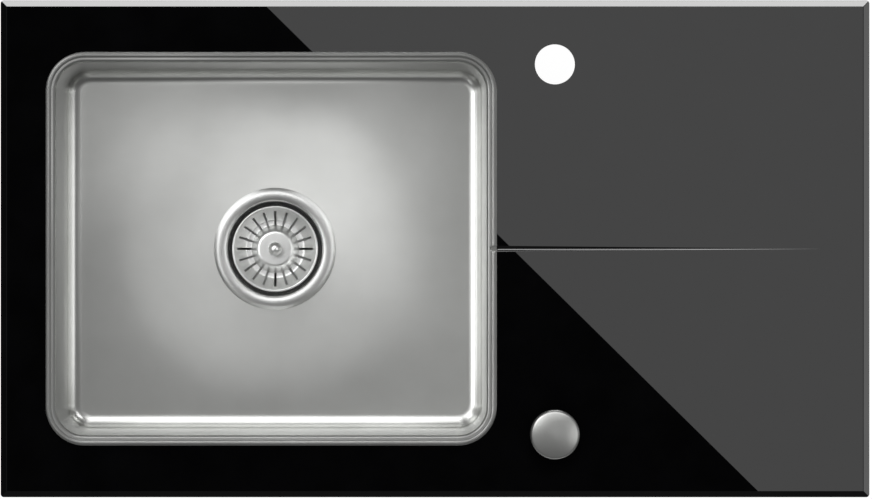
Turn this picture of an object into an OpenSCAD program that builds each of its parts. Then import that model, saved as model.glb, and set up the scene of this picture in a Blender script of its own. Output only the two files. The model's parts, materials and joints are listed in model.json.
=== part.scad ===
// Inset kitchen sink: a pressed steel bowl let into a bevelled black glass drainer, with a basket
// waste that a control knob opens through a cable. Millimetres, +Z up, +X right, +Y to the back.
// The origin is the centre of the glass on the worktop's surface.

/* [Glass] */
// Length of the glass along the worktop
glass_w = 780; // [770:1:860]
// Depth of the glass from front to back
glass_l = 446; // [440:1:500]
// Thickness of the glass
glass_t = 8; // [7:0.5:10]
// Width of the ground bevel
bevel_w = 5.6; // [3:0.1:8]
// Height of the ground bevel
bevel_h = 4.2; // [2:0.1:5]
// Radius of the glass's corners
glass_r = 3; // [1:0.5:6]
// Width of the drain groove at the bowl
groove_w = 5; // [3:0.2:6]
// Depth of the drain groove at the bowl
groove_d = 1.2; // [0.6:0.1:2]
// Distance from the groove's end to the right edge of the glass
groove_stop = 43; // [20:1:120]

/* [Bowl] */
// Length of the bowl over its raised rim
bowl_w = 404.8; // [396:0.4:420]
// Depth of the bowl over its raised rim, front to back
bowl_l = 353; // [344:1:360]
// Radius of the rim's corners
rim_r = 35; // [32:1:45]
// Land of glass at the left of the bowl
bowl_land = 40.6; // [38:0.2:60]
// Depth of the bowl below the glass
bowl_depth = 160; // [140:1:200]
// Thickness of the bowl's sheet
sheet_t = 0.9; // [0.7:0.05:1.2]
// Draft of the walls in degrees
draft = 1.2; // [0.8:0.1:2]
// Radius of the fillet between wall and floor
floor_fillet = 13; // [11:0.5:15]
// Bend radius of the raised rim bead
bead_r = 2.6; // [2.4:0.1:2.8]
// Fall of the dished floor to the waste
dish_d = 3; // [1.5:0.5:4]
// Radius at which the dish starts
dish_r = 145; // [120:1:146]

/* [Worktop seal and frame] */
// Thickness of the foam seal on the worktop
seal_t = 2; // [2:0.5:4]
// Width of the foam seal
seal_w = 7; // [5:0.5:8]
// Distance from the foam seal to the glass edge
seal_inset = 2; // [1:0.5:3]
// Width of the frame's upper flange
frame_flange = 16; // [14:0.5:18]
// Height of the frame's leg
frame_h = 15; // [13:0.5:20]
// Thickness of the frame's sheet
frame_t = 1.2; // [1:0.1:1.6]
// Thickness of the adhesive between frame and glass
bond_t = 1; // [0.6:0.1:1.4]
// Distance from the tap hole to the cross rail
rail_gap = 92.4; // [80:0.4:110]
// Width of the cross rail
rail_w = 30; // [24:1:40]
// Height of the cross rail
rail_h = 12; // [9:0.5:13]

/* [Clamps] */
// Radius of a clamp's stud
stud_r = 3; // [2.5:0.1:3.5]
// Length of a clamp's stud
stud_len = 62; // [56:1:70]
// Distance from the frame's leg to a stud
stud_inset = 12; // [11:0.5:14]
// Reach of a clamp's arm from its stud
arm_reach = 36; // [30:1:42]
// Width of a clamp's arm
arm_w = 12; // [10:0.5:14]
// Distance from the front and back clamps to the ends of the frame
clamp_stop = 129; // [110:1:140]

/* [Waste] */
// Radius of the strainer's flange
flange_r = 56; // [55:0.5:58]
// Radius of the hole in the bowl
drain_r = 45; // [44.8:0.1:45.6]
// Radius of the strainer basket over its rim
basket_r = 39.5; // [39:0.1:39.6]
// Number of slots in the basket
basket_slots = 20; // [12:1:24]
// Width of a basket slot
slot_w = 2; // [1.4:0.1:2.6]
// Radius of the basket's ball knob
ball_r = 6.3; // [5:0.1:7]
// Radius of the lift pin
pin_r = 3; // [2.6:0.1:3.2]
// Travel of the lift pin
lift = 10; // [8:0.5:11]
// Thickness of the moulded housing's wall
housing_t = 2.7; // [2.2:0.1:3.2]
// Radius of the outlet over its thread
outlet_r = 23.9; // [23:0.1:25]
// Length of the outlet's thread
outlet_len = 20; // [16:1:26]

/* [Lever and cable] */
// Length of the lever under the pin
lever_l = 20; // [19:0.5:21]
// Radius of the lever's shaft
shaft_r = 3; // [2.6:0.1:3.4]
// Diameter of the cable's sheath
cable_d = 5; // [4:0.2:6]
// Radius of the cable's inner wire
wire_r = 0.6; // [0.5:0.05:0.75]

/* [Control] */
// Radius of the control knob
knob_r = 22.25; // [21.5:0.25:24]
// Height of the control knob
knob_h = 11.5; // [10:0.5:14]
// Radius of the hole for the control
control_r = 17; // [16.8:0.1:17.5]
// Radius of the control's spindle
spindle_r = 4; // [3.6:0.1:4.4]
// Distance from the control to the front edge of the glass
control_stop = 56.4; // [54:0.2:62]
// Height of the control's housing
case_h = 26; // [24:0.5:30]

/* [Tap hole] */
// Radius of the tap hole
tap_r = 18; // [17:0.25:19]
// Distance from the tap hole to the back edge of the glass
tap_stop = 57.4; // [50:0.2:70]
// Distance from the tap hole and the control to the bowl
tap_land = 52.2; // [50:0.2:56]

/* [Hidden] */
$fn = 48;
play = 0.3;
fit = 0.06;
glue = 0.1;
thread_fit = 0.05;
eps = 0.5;
arc_step = 12;

glass_z = seal_t;
top_z = glass_z + glass_t;
floor_z = top_z - bowl_depth;
bowl_x = -glass_w / 2 + bowl_land + bowl_w / 2;
bowl_right = bowl_x + bowl_w / 2;
tap_x = bowl_right + tap_land;
tap_y = glass_l / 2 - tap_stop;
control_y = control_stop - glass_l / 2;

// Rim bead: its sheet climbs at bead_a, so its edge stands just clear of the glass
bead_a = 50;
crease_r = 1;
ledge_a = 5;
ledge_l = 1.2;
shoulder_r = 3;
rim_z = top_z + glue + sheet_t / 2 * cos(bead_a);
rim_start = [rim_r - sheet_t / 2 * sin(bead_a), rim_z];
bead_core = rim_start - bead_r * [sin(bead_a), cos(bead_a)];
shoulder_drop = crease_r * (cos(ledge_a) - cos(bead_a)) + ledge_l * sin(ledge_a)
  + shoulder_r * (cos(ledge_a) - cos(90 - draft));
fillet_mid = floor_fillet + sheet_t / 2;
fillet_drop = fillet_mid * (1 - sin(draft));
wall_drop = rim_z - shoulder_drop - fillet_drop - floor_z + sheet_t / 2;
floor_lap = 2;
bowl_path = [
  [bead_r, -2 * bead_a],
  [crease_r, bead_a - ledge_a],
  [0, ledge_l],
  [shoulder_r, ledge_a + draft - 90],
  [0, wall_drop / cos(draft)],
  [fillet_mid, 90 - draft],
  [0, floor_lap]
];
wall_in = rim_r - rim_start[0] + 2 * bead_r * sin(bead_a)
  + crease_r * (sin(bead_a) - sin(ledge_a)) + ledge_l * cos(ledge_a)
  + shoulder_r * (cos(draft) - sin(ledge_a));
floor_in = wall_in + wall_drop * tan(draft) + fillet_mid * cos(draft);
lip_overlap = 3.9;
dish_flat_r = flange_r + 1;
dish_rings = 8;
spout_z = top_z - 1.1;
spout_t = 0.8;
spout_l = 6.4;

// Frame under the glass
frame_w = glass_w - 2 * (seal_inset + seal_w + 2);
frame_l = glass_l - 2 * (seal_inset + seal_w + 2);
frame_r = 8;
frame_z = glass_z - bond_t;
rail_x = tap_x + rail_gap;

// Clamps: place and outward direction of each
leg_x = frame_w / 2 - frame_t;
leg_y = frame_l / 2 - frame_t;
end_x = frame_w / 2 - clamp_stop;
clamp_at = [
  [-end_x, -leg_y, -90], [end_x, -leg_y, -90], [leg_x, 0, 0],
  [end_x, leg_y, 90], [-end_x, leg_y, 90], [-leg_x, 0, 180]
];
bracket_z = frame_z - frame_h;
bracket_t = 1.8;
bracket_w = 24;
arm_z = -46;
arm_t = 2;
arm_tip = 6;
nut_h = 7;

// Strainer cup, from the flange's edge to its floor, in heights below the bowl's floor
cup_edge_a = 38;
cup_fall_a = 20;
cup_arch_r = 10.6;
cup_lip_r = 2.2;
cup_neck = 6;
seat_a = 50;
seat_r = 1.5;
seat_l = 3.2;
cup_wall = 18;
cup_foot_r = 4;
cup_hole_r = 6;
cup_start = [flange_r - sheet_t / 2 * sin(cup_edge_a), 0.7 - dish_d];
cup_arch = [[cup_arch_r, -cup_edge_a - cup_fall_a]];
cup_side = [
  [cup_lip_r, cup_fall_a - 90],
  [0, cup_neck],
  [seat_r, 90 - seat_a],
  [0, seat_l],
  [seat_r, seat_a - 90],
  [0, cup_wall],
  [cup_foot_r, 90]
];
cup_turns = concat(cup_arch, cup_side);
cup_end = last_point(cup_start, cup_edge_a, cup_turns);
cup_floor = cup_end[1] + sheet_t / 2;
cup_under = cup_end[1] - sheet_t / 2;
cup_path = concat(cup_turns, [[0, cup_end[0] - cup_hole_r]]);
cup_slots = 12;

// Basket
basket_t = 0.7;
basket_a = 60;
basket_rim_a = 50;
basket_rim_r = 1.1;
basket_wall = 18.5;
basket_foot_r = 3;
basket_foot = 3;
dome_a = 62;
dome_foot_r = 1.5;
dome_side = 8;
dome_r = 4;
stem_r = 2.9;
basket_start = [basket_r - basket_t / 2 * sin(basket_rim_a), 1 - dish_d - 7.2];
basket_turns = [
  [basket_rim_r, -basket_rim_a - basket_a],
  [0, basket_wall],
  [basket_foot_r, basket_a],
  [0, basket_foot],
  [dome_foot_r, dome_a],
  [0, dome_side],
  [dome_r, -dome_a]
];
basket_end = last_point(basket_start, basket_rim_a, basket_turns);
plateau_z = basket_end[1];
basket_path = concat(basket_turns, [[0, basket_end[0] - stem_r - thread_fit]]);
basket_seal_r = 41.7;
basket_seal_t = 1.5;
basket_seal_z = basket_start[1] - basket_t / 2 - basket_seal_t + 0.05;
slot_in = 21.8;
slot_out = 35;
stem_foot = 2;
stem_z = plateau_z - basket_t / 2 - glue - stem_foot;
ball_z = basket_end[1] + 10;

// Waste housing, in heights below the bowl's floor
under_z = -dish_d - sheet_t;
gasket_t = 1.5;
gasket_r = 53;
case_top = under_z - gasket_t;
case_in = drain_r + 0.3;
rim_t = 4;
boss_z = cup_under - glue;
boss_h = 11;
boss_r = 10;
case_turn = boss_z - 8.5;
chamber_r = 31;
chamber_top = case_turn - 10;
chamber_bottom = chamber_top - 18;
outlet_in = outlet_r - 4.4;
outlet_top = chamber_bottom - 16;
outlet_end = outlet_top - outlet_len;
bolt_r = 5.5;
bolt_head_r = 9;
bolt_nut_h = 4;

// Rack and pinion: module 1, tooth shift a third, so the small pinion isn't undercut
teeth = 12;
pressure = 20;
shift = 0.3;
backlash = 0.15;
pitch_r = teeth / 2;
base_r = pitch_r * cos(pressure);
tip_r = pitch_r + 1 + shift;
root_r = pitch_r - 1.25 + shift;
rack_line = pitch_r + shift;
rack_root = rack_line + 1.25;
rack_back = rack_root + 4;
rack_travel = pitch_r * PI / 2;

// Lever shaft across the chamber, parallel to Y
swing = 2 * asin(lift / 2 / lever_l);
nose_r = 3;
pin_low = chamber_top - 7.5;
pin_high = stem_z - play;
shaft_x = -lever_l;
shaft_z = pin_low - play - nose_r + lever_l * sin(swing / 2);
shaft_front = -41;
shaft_back = 23.5;
bearing_r = 7;
bearing_front = -33;
bearing_back = 26;
crank_y = -36;
crank_t = 4;
crank_gap = 0.6;
nipple_r = 1.6;
crank_l = rack_travel / 2 / tan(swing / 2);
wire_z = shaft_z - crank_l;
stop_x = 24;
stop_t = 3;
ferrule_r = 4;
ferrule_l = 22;
wire_bore = wire_r + 0.3;

// Control, around its own centre
gasket_h = 0.6;
collar_h = 1.8;
collar_z = top_z + gasket_h;
collar_r = 20.5;
knob_z = collar_z + collar_h + play;
bushing_r = control_r - 0.5;
washer_t = 1.5;
backnut_h = 6;
backnut_r = 23;
backnut_z = glass_z - washer_t - backnut_h;
case_z = backnut_z - 4.5;
case_floor = case_z - case_h;
case_wall = 2.7;
cover_t = 2.5;
rack_h = 8;
rack_z = case_z - 13;
pinion_h = 9;
rack_front = -8;
rack_rear = rack_front + 26;
wire_x = -(rack_root + rack_back) / 2;
case_front = rack_front - rack_travel - 0.6 - case_wall;
case_rear = rack_rear + play + case_wall;
case_left = -rack_back - play - case_wall;
case_right = tip_r + 0.7 + case_wall;
screw_r = 1.4;
screw_head_r = 2.4;
screw_l = 7;

// Cable between the two ferrules: hand-placed points, the ends follow what holds them
cable_start = [bowl_x + stop_x + stop_t + ferrule_l, crank_y, floor_z + wire_z];
cable_end = [tap_x + wire_x, control_y + case_rear + ferrule_l, rack_z];
route = [
  cable_start,
  cable_start + [16, 0, 0],
  cable_start + [53, 0, 3],
  cable_start + [93, 0, 12],
  [bowl_right - 23, crank_y, floor_z - 48],
  [bowl_right + 5, crank_y - 1, floor_z - 22],
  [bowl_right + 23, crank_y - 4, floor_z + 10],
  [bowl_right + 34, crank_y - 10, rack_z - 83],
  [cable_end[0] - 3, crank_y - 20, rack_z - 52],
  [cable_end[0], crank_y - 35, rack_z - 26],
  cable_end + [0, 33, -10],
  cable_end + [0, 14, 0],
  cable_end
];
cable_sides = 10;
cable_rings = 42;

// Sheet paths: a bend is [radius, turn], a straight run is [0, length]. The path runs toward the
// axis, and a positive turn is upward.
function along(h) = [-cos(h), sin(h)];
function normal(h) = [sin(h), cos(h)];
function bend_points(p, h, r, turn) =
  let (n = ceil(abs(turn) / arc_step), up = sign(turn))
  [for (k = [1:n]) let (g = h + turn * k / n) [p + up * r * (normal(h) - normal(g)), g]];
function run(p, h, s) = s[0] == 0 ? [[p + s[1] * along(h), h]] : bend_points(p, h, s[0], s[1]);
function path(p, h, segs, i = 0) = i == len(segs) ? [[p, h]]
  : let (next = run(p, h, segs[i]), e = next[len(next) - 1])
    concat([[p, h]], [for (k = [0:1:len(next) - 2]) next[k]], path(e[0], e[1], segs, i + 1));
function last_point(p, h, segs) = let (all = path(p, h, segs)) all[len(all) - 1][0];
function side_of(line, off) = [for (s = line) s[0] + off * normal(s[1])];
function backward(list) = [for (i = [len(list) - 1:-1:0]) list[i]];

module sheet(p, h, segs, t) {
  line = path(p, h, segs);
  polygon(concat(side_of(line, t / 2), backward(side_of(line, -t / 2))));
}

module rounded(w, l, r) {
  square([w - 2 * r, l], center = true);
  square([w, l - 2 * r], center = true);
  for (x = [-1, 1], y = [-1, 1]) translate([x * (w / 2 - r), y * (l / 2 - r)]) circle(r);
}

// Sweeps a section round a rounded rectangle. The section's x is measured from a corner's centre.
module swept(w, l, r) {
  half = [w / 2 - r, l / 2 - r];
  for (k = [0:7]) {
    off = k % 2 == 0 ? half : [half[1], half[0]];
    rotate(90 * (k % 4)) translate(off)
      if (k < 4) rotate_extrude(angle = 90) children();
      else rotate([90, 0, 0]) linear_extrude(2 * off[1]) children();
  }
}

module ring(r_out, r_in, h) {
  difference() {
    cylinder(r = r_out, h = h);
    translate([0, 0, -eps]) cylinder(r = r_in, h = h + 2 * eps);
  }
}

module at_waste() { translate([bowl_x, 0, floor_z]) children(); }
module at_control() { translate([tap_x, control_y, 0]) children(); }
module along_x() { rotate([0, 90, 0]) children(); }
module along_y() { rotate([-90, 0, 0]) children(); }

module rim_seal() {
  w = glass_w - 2 * seal_inset;
  l = glass_l - 2 * seal_inset;
  color("#26282a") linear_extrude(seal_t) difference() {
    rounded(w, l, glass_r);
    square([w - 2 * seal_w, l - 2 * seal_w], center = true);
  }
}

module glass_blank() {
  translate([0, 0, glass_z]) linear_extrude(glass_t) difference() {
    rounded(glass_w, glass_l, glass_r);
    translate([bowl_x, 0])
      rounded(bowl_w - 2 * lip_overlap, bowl_l - 2 * lip_overlap, rim_r - lip_overlap);
    translate([tap_x, tap_y]) circle(tap_r);
    translate([tap_x, control_y]) circle(control_r);
  }
}

module bevel_cut(half, len) {
  s = bevel_h / bevel_w;
  translate([0, len / 2 + eps, 0]) rotate([90, 0, 0]) linear_extrude(len + 2 * eps)
    polygon([
      [half - bevel_w - eps, top_z + s * eps],
      [half + eps, top_z - bevel_h - s * eps],
      [half + eps, top_z + s * eps]
    ]);
}

// A V running along X, its lowest line rising by tilt from left to right
module vee(x_end, z_end, len, tilt, half_w, depth) {
  high = depth + 2;
  translate([x_end, 0, z_end]) rotate([0, -tilt, 0]) rotate([0, -90, 0]) linear_extrude(len)
    polygon([[0, 0], [high, high * half_w / depth], [high, -high * half_w / depth]]);
}

module glass_top() {
  groove_end = glass_w / 2 - groove_stop;
  groove_len = groove_end - bowl_right + lip_overlap + 1;
  color("#101112") difference() {
    glass_blank();
    for (a = [0, 180]) rotate(a) bevel_cut(glass_w / 2, glass_l);
    for (a = [90, 270]) rotate(a) bevel_cut(glass_l / 2, glass_w);
    vee(groove_end, top_z, groove_len, atan(groove_d / groove_len), groove_w / 2, groove_d);
    vee(bowl_right + eps, spout_z - spout_t - 2 * glue, spout_l, 0, 1, 1);
  }
}

module lip_sealant() {
  r = bead_r - sheet_t / 2 - glue;
  a = acos((top_z - bead_core[1]) / r);
  color("#3c3e40") difference() {
    translate([bowl_x, 0]) swept(bowl_w, bowl_l, rim_r)
      polygon([for (k = [0:8]) let (b = a * (k / 4 - 1)) bead_core + r * [sin(b), cos(b)]]);
    translate([bowl_right - spout_l, -4, top_z - eps]) cube([spout_l + 1, 8, 4]);
  }
}

function dish(r) = let (u = max(0, min(1, (r - dish_flat_r) / (dish_r - dish_flat_r))))
  dish_d * (u * u * (3 - 2 * u) - 1);
function dish_line(from, to, z) = [for (k = [0:dish_rings])
  let (r = from + (to - from) * k / dish_rings) [r, z + dish(r)]];

module bowl_floor() {
  reach = 1;
  translate([0, 0, floor_z - sheet_t]) linear_extrude(sheet_t) difference() {
    rounded(bowl_w - 2 * floor_in, bowl_l - 2 * floor_in, rim_r - floor_in);
    circle(dish_r + reach);
  }
  translate([0, 0, floor_z]) rotate_extrude() polygon(concat(
    [[drain_r, -dish_d]], dish_line(dish_flat_r, dish_r, 0), [[dish_r + 2 * reach, 0]],
    [[dish_r + 2 * reach, -sheet_t]], backward(dish_line(dish_flat_r, dish_r, -sheet_t)),
    [[drain_r, -dish_d - sheet_t]]
  ));
}

// Small pressed spout that carries the drain groove through the rim bead
module spout() {
  rise = 2.1;
  translate([bowl_w / 2 - spout_l, 0, 0]) rotate([90, 0, 90]) linear_extrude(spout_l) polygon([
    [0, spout_z], [rise, spout_z + rise], [rise + spout_t, spout_z + rise],
    [0, spout_z - spout_t], [-rise - spout_t, spout_z + rise], [-rise, spout_z + rise]
  ]);
}

module bowl() {
  color("#b9bbba") translate([bowl_x, 0]) {
    difference() {
      union() {
        swept(bowl_w, bowl_l, rim_r) sheet(rim_start, bead_a, bowl_path, sheet_t);
        bowl_floor();
      }
      vee(bowl_w / 2 + eps, spout_z - glue, spout_l + eps, 0, 1, 1);
    }
    spout();
  }
}

module side_pads() {
  pad_t = 2.5;
  pad_z = floor_z + bowl_depth / 2;
  pad_h = bowl_depth * 0.5;
  in = wall_in + (rim_z - shoulder_drop - pad_z) * tan(draft);
  for (k = [0:3]) {
    half = k % 2 == 0 ? bowl_w / 2 : bowl_l / 2;
    pad_l = (k % 2 == 0 ? bowl_l : bowl_w) - 2 * rim_r - 110;
    color("#2c2d2e") translate([bowl_x, 0, pad_z]) rotate(90 * k)
      translate([half - in + sheet_t / 2 + glue, 0, 0]) rotate([0, draft, 0])
        translate([0, -pad_l / 2, -pad_h / 2]) cube([pad_t, pad_l, pad_h]);
  }
}

module base_pad() {
  pad_t = 2.5;
  low = -sheet_t - glue;
  color("#2c2d2e") at_waste() rotate_extrude() polygon(concat(
    dish_line(dish_flat_r + 8, dish_r - 8, low),
    backward(dish_line(dish_flat_r + 8, dish_r - 8, low - pad_t))
  ));
}

module frame_outline(in) { rounded(frame_w - 2 * in, frame_l - 2 * in, frame_r - min(in, frame_r - 1)); }

module support_frame() {
  color("#8e9194") {
    translate([0, 0, frame_z - frame_t]) linear_extrude(frame_t)
      difference() { frame_outline(0); frame_outline(frame_flange); }
    translate([0, 0, frame_z - frame_h]) linear_extrude(frame_h - frame_t / 2)
      difference() { frame_outline(0); frame_outline(frame_t); }
  }
}

module frame_bond() {
  color("#1d1e1f") translate([0, 0, frame_z]) linear_extrude(bond_t)
    difference() { frame_outline(2); frame_outline(frame_flange - 2); }
}

module cross_rail() {
  len = frame_l - 2 * frame_t;
  color("#8e9194") translate([rail_x, len / 2, frame_z - frame_t - rail_h]) rotate([90, 0, 0])
    linear_extrude(len) difference() {
      translate([-rail_w / 2, 0]) square([rail_w, rail_h]);
      translate([frame_t - rail_w / 2, -eps])
        square([rail_w - 2 * frame_t, rail_h - frame_t + eps]);
    }
}

module rail_pad() {
  len = frame_l - 2 * frame_flange - 2 * play;
  color("#1d1e1f") translate([rail_x - rail_w / 2 + 2, -len / 2, frame_z - frame_t])
    cube([rail_w - 4, len, bond_t + frame_t]);
}

module at_clamp(i) {
  p = clamp_at[i];
  translate([p[0], p[1], 0]) rotate(p[2]) children();
}

module clamp_brackets() {
  shelf = stud_inset + 9;
  color("#8e9194") for (i = [0:5]) at_clamp(i) translate([0, 0, bracket_z]) difference() {
    union() {
      translate([-shelf, -bracket_w / 2, 0]) cube([shelf, bracket_w, bracket_t]);
      translate([-bracket_t, -bracket_w / 2, 0]) cube([bracket_t, bracket_w, frame_h - 2 * frame_t]);
    }
    translate([-stud_inset, 0, -eps]) cylinder(r = stud_r + thread_fit, h = bracket_t + 2 * eps);
  }
}

module clamp_studs() {
  head_h = 3;
  color("#a9acad") for (i = [0:5]) at_clamp(i) translate([-stud_inset, 0, bracket_z + bracket_t]) {
    cylinder(r = 1.8 * stud_r, h = head_h, $fn = 6);
    translate([0, 0, -stud_len]) cylinder(r = stud_r, h = stud_len + head_h / 2);
  }
}

module clamp_arm(i) {
  pad = 3;
  color("#8e9194") at_clamp(i) translate([-stud_inset, 0, arm_z]) rotate(-90) difference() {
    union() {
      cylinder(r = arm_w / 2 + 1, h = arm_t);
      translate([0, -arm_w / 2, 0]) cube([arm_reach, arm_w, arm_t]);
      translate([arm_reach - arm_t, -arm_w / 2, 0]) cube([arm_t, arm_w, arm_tip]);
      translate([arm_reach - arm_t - pad, -arm_w / 2, 0]) cube([pad + eps, arm_w, 2 * arm_t]);
    }
    translate([0, 0, -eps]) cylinder(r = stud_r + fit, h = arm_t + 2 * eps);
  }
}

module clamp_wing_nuts() {
  hub_r = stud_r + 2.5;
  wing_l = 8;
  color("#a9acad") for (i = [0:5]) at_clamp(i) translate([-stud_inset, 0, arm_z - play - nut_h])
    difference() {
      union() {
        cylinder(r = hub_r, h = nut_h);
        for (a = [20, 200]) rotate(a) translate([hub_r - 1, 1, 1]) rotate([90, 0, 0])
          linear_extrude(2) polygon([[0, 0], [wing_l, 1], [wing_l + 1, 4], [wing_l, 5], [0, 4]]);
      }
      translate([0, 0, -eps]) cylinder(r = stud_r + thread_fit, h = nut_h + 2 * eps);
    }
}

module strainer_cup() {
  slot_from = cup_hole_r + 6;
  slot_to = cup_end[0] - 3;
  color("#c3c5c4") at_waste() difference() {
    rotate_extrude() sheet(cup_start, cup_edge_a, cup_path, sheet_t);
    for (k = [0:cup_slots - 1]) rotate(360 / cup_slots * k)
      translate([slot_from, -slot_w, cup_under - eps])
        cube([slot_to - slot_from, 2 * slot_w, sheet_t + 2 * eps]);
  }
}

module flange_gasket() {
  off = sheet_t / 2 + glue;
  under = side_of(path(cup_start, cup_edge_a, cup_arch), -off);
  n = len(under) - 1;
  color("#17181a") at_waste() rotate_extrude() polygon(concat(
    [for (k = [1:n]) under[k]], [[under[n][0], -dish_d], [under[1][0], -dish_d]]
  ));
}

module waste_gasket() {
  color("#17181a") at_waste() translate([0, 0, case_top]) ring(gasket_r, drain_r + 0.6, gasket_t);
}

module housing_outside() {
  rotate_extrude() polygon([
    [0, case_top], [gasket_r + 1, case_top], [gasket_r + 1, case_top - rim_t],
    [case_in + housing_t, case_top - rim_t], [case_in + housing_t, case_turn],
    [chamber_r + housing_t, chamber_top - 1], [chamber_r + housing_t, chamber_bottom],
    [outlet_r, outlet_top], [outlet_r, outlet_end], [0, outlet_end]
  ]);
}

module housing_inside() {
  rotate_extrude() polygon([
    [0, case_top + eps], [case_in, case_top + eps], [case_in, case_turn],
    [chamber_r, chamber_top], [chamber_r, chamber_bottom],
    [outlet_in, outlet_top], [outlet_in, outlet_end - eps], [0, outlet_end - eps]
  ]);
}

module shaft_line(from, to, r) {
  translate([shaft_x, from, shaft_z]) along_y() cylinder(r = r, h = to - from);
}

module housing_spider() {
  web = 4;
  translate([0, 0, boss_z - boss_h]) {
    cylinder(r = boss_r, h = boss_h);
    for (a = [90, 210, 330]) rotate(a) translate([0, -web / 2, 0])
      cube([case_in + housing_t / 2, web, boss_h - 1]);
  }
}

module waste_housing() {
  inner = 4;
  color("#e4e4e0") at_waste() difference() {
    union() {
      difference() {
        union() {
          housing_outside();
          shaft_line(bearing_front, 0, bearing_r);
          shaft_line(0, bearing_back, bearing_r);
          translate([stop_x, crank_y - 6, wire_z - 7])
            cube([stop_t, -crank_y - 14, chamber_top - wire_z + 1]);
        }
        housing_inside();
      }
      housing_spider();
      intersection() {
        shaft_line(bearing_back - 10, bearing_back, bearing_r);
        translate([0, 0, chamber_bottom]) cylinder(r = chamber_r + 1, h = chamber_top - chamber_bottom);
      }
    }
    shaft_line(bearing_front - eps, shaft_back + play, shaft_r + fit);
    shaft_line(bearing_front - eps, bearing_front + inner, shaft_r + 2);
    translate([0, 0, boss_z - boss_h - eps]) cylinder(r = bolt_r + thread_fit, h = boss_h + 2 * eps);
    translate([stop_x - eps, crank_y, wire_z]) along_x()
      cylinder(r = ferrule_r - 1.2, h = stop_t + 2 * eps);
  }
}

module clamp_bolt() {
  head_h = 3;
  shank = boss_h + cup_floor - boss_z + bolt_nut_h;
  color("#c3c5c4") at_waste() translate([0, 0, cup_floor]) difference() {
    union() {
      cylinder(r = bolt_head_r, h = head_h);
      translate([0, 0, -shank]) cylinder(r = bolt_r, h = shank + head_h / 2);
    }
    translate([0, 0, -shank - eps]) cylinder(r = pin_r + fit, h = shank + head_h + 2 * eps);
  }
}

module bolt_nut() {
  color("#a9acad") at_waste() translate([0, 0, boss_z - boss_h - bolt_nut_h]) difference() {
    cylinder(r = bolt_head_r + 1, h = bolt_nut_h, $fn = 6);
    translate([0, 0, -eps]) cylinder(r = bolt_r + thread_fit, h = bolt_nut_h + 2 * eps);
  }
}

module lift_pin() {
  color("#c3c5c4") at_waste() translate([0, 0, pin_low]) {
    cylinder(r1 = pin_r - 0.8, r2 = pin_r, h = 0.8);
    translate([0, 0, 0.8]) cylinder(r = pin_r, h = pin_high - pin_low - 0.8);
  }
}

module basket() {
  color("#c9cbca") at_waste() difference() {
    rotate_extrude() sheet(basket_start, basket_rim_a, basket_path, basket_t);
    for (k = [0:basket_slots - 1]) rotate(90 + 360 / basket_slots * k)
      translate([slot_in, -slot_w / 2, plateau_z - 14]) cube([slot_out - slot_in, slot_w, 20]);
  }
}

module basket_seal() {
  color("#17181a") at_waste() translate([0, 0, basket_seal_z - glue])
    ring(basket_seal_r, basket_r - 1.5, basket_seal_t);
}

module basket_stem() {
  color("#c3c5c4") at_waste() {
    translate([0, 0, stem_z]) cylinder(r = 2 * stem_r, h = stem_foot);
    translate([0, 0, stem_z]) cylinder(r = stem_r, h = ball_z - stem_z);
    translate([0, 0, plateau_z + basket_t / 2 + glue]) cylinder(r = stem_r + 1.6, h = 1.2);
  }
}

module basket_ball_knob() {
  color("#d4d6d5") at_waste() translate([0, 0, ball_z]) difference() {
    sphere(r = ball_r);
    translate([0, 0, -ball_r]) cylinder(r = stem_r + thread_fit, h = ball_r + thread_fit);
  }
}

module at_shaft() { at_waste() translate([shaft_x, 0, shaft_z]) rotate([0, swing / 2, 0]) children(); }

module lever_shaft() {
  color("#a9acad") at_waste() shaft_line(shaft_front, shaft_back, shaft_r);
}

module lift_lever() {
  width = 8;
  hub = shaft_r + 2.5;
  color("#e4e4e0") at_shaft() translate([0, width / 2, 0]) rotate([90, 0, 0]) linear_extrude(width)
    difference() {
      union() {
        circle(hub);
        translate([lever_l, 0]) circle(nose_r);
        translate([0, -nose_r]) square([lever_l, 2 * nose_r - 1]);
      }
      circle(shaft_r + thread_fit);
    }
}

module shaft_seal() {
  depth = 3;
  color("#17181a") at_waste() translate([shaft_x, bearing_front + 0.8, shaft_z]) along_y()
    ring(shaft_r + 2 - thread_fit, shaft_r + 0.1, depth);
}

module crank_arm() {
  reach = crank_l / cos(swing / 2);
  slot = nipple_r + play;
  outer = slot + 2.2;
  slit = wire_r + play;
  sway = outer * tan(swing / 2) + slit + crank_gap / 2;
  color("#a9acad") at_shaft() difference() {
    translate([0, crank_y + crank_t / 2, 0]) rotate([90, 0, 0]) linear_extrude(crank_t) difference() {
      union() {
        circle(shaft_r + 3);
        translate([-outer, -reach]) square([2 * outer, reach]);
        translate([0, -reach]) circle(outer);
      }
      circle(shaft_r + thread_fit);
      translate([0, -reach - crank_gap / 2]) circle(slot);
      translate([0, -crank_l + crank_gap / 2]) circle(slot);
      translate([-slot, -reach - crank_gap / 2]) square([2 * slot, reach - crank_l + crank_gap]);
    }
    translate([0, crank_y - slit, -reach - sway]) cube([outer + eps, 2 * slit, reach - crank_l + 2 * sway]);
  }
}

module lever_wire() {
  start = shaft_x - rack_travel / 2;
  end = stop_x + 13.5;
  color("#9a9c9d") at_waste() {
    translate([start, crank_y, wire_z]) along_x() cylinder(r = wire_r, h = end - start);
    translate([start, crank_y - crank_t / 2 - 1, wire_z]) along_y()
      cylinder(r = nipple_r, h = crank_t + 2);
  }
}

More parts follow.
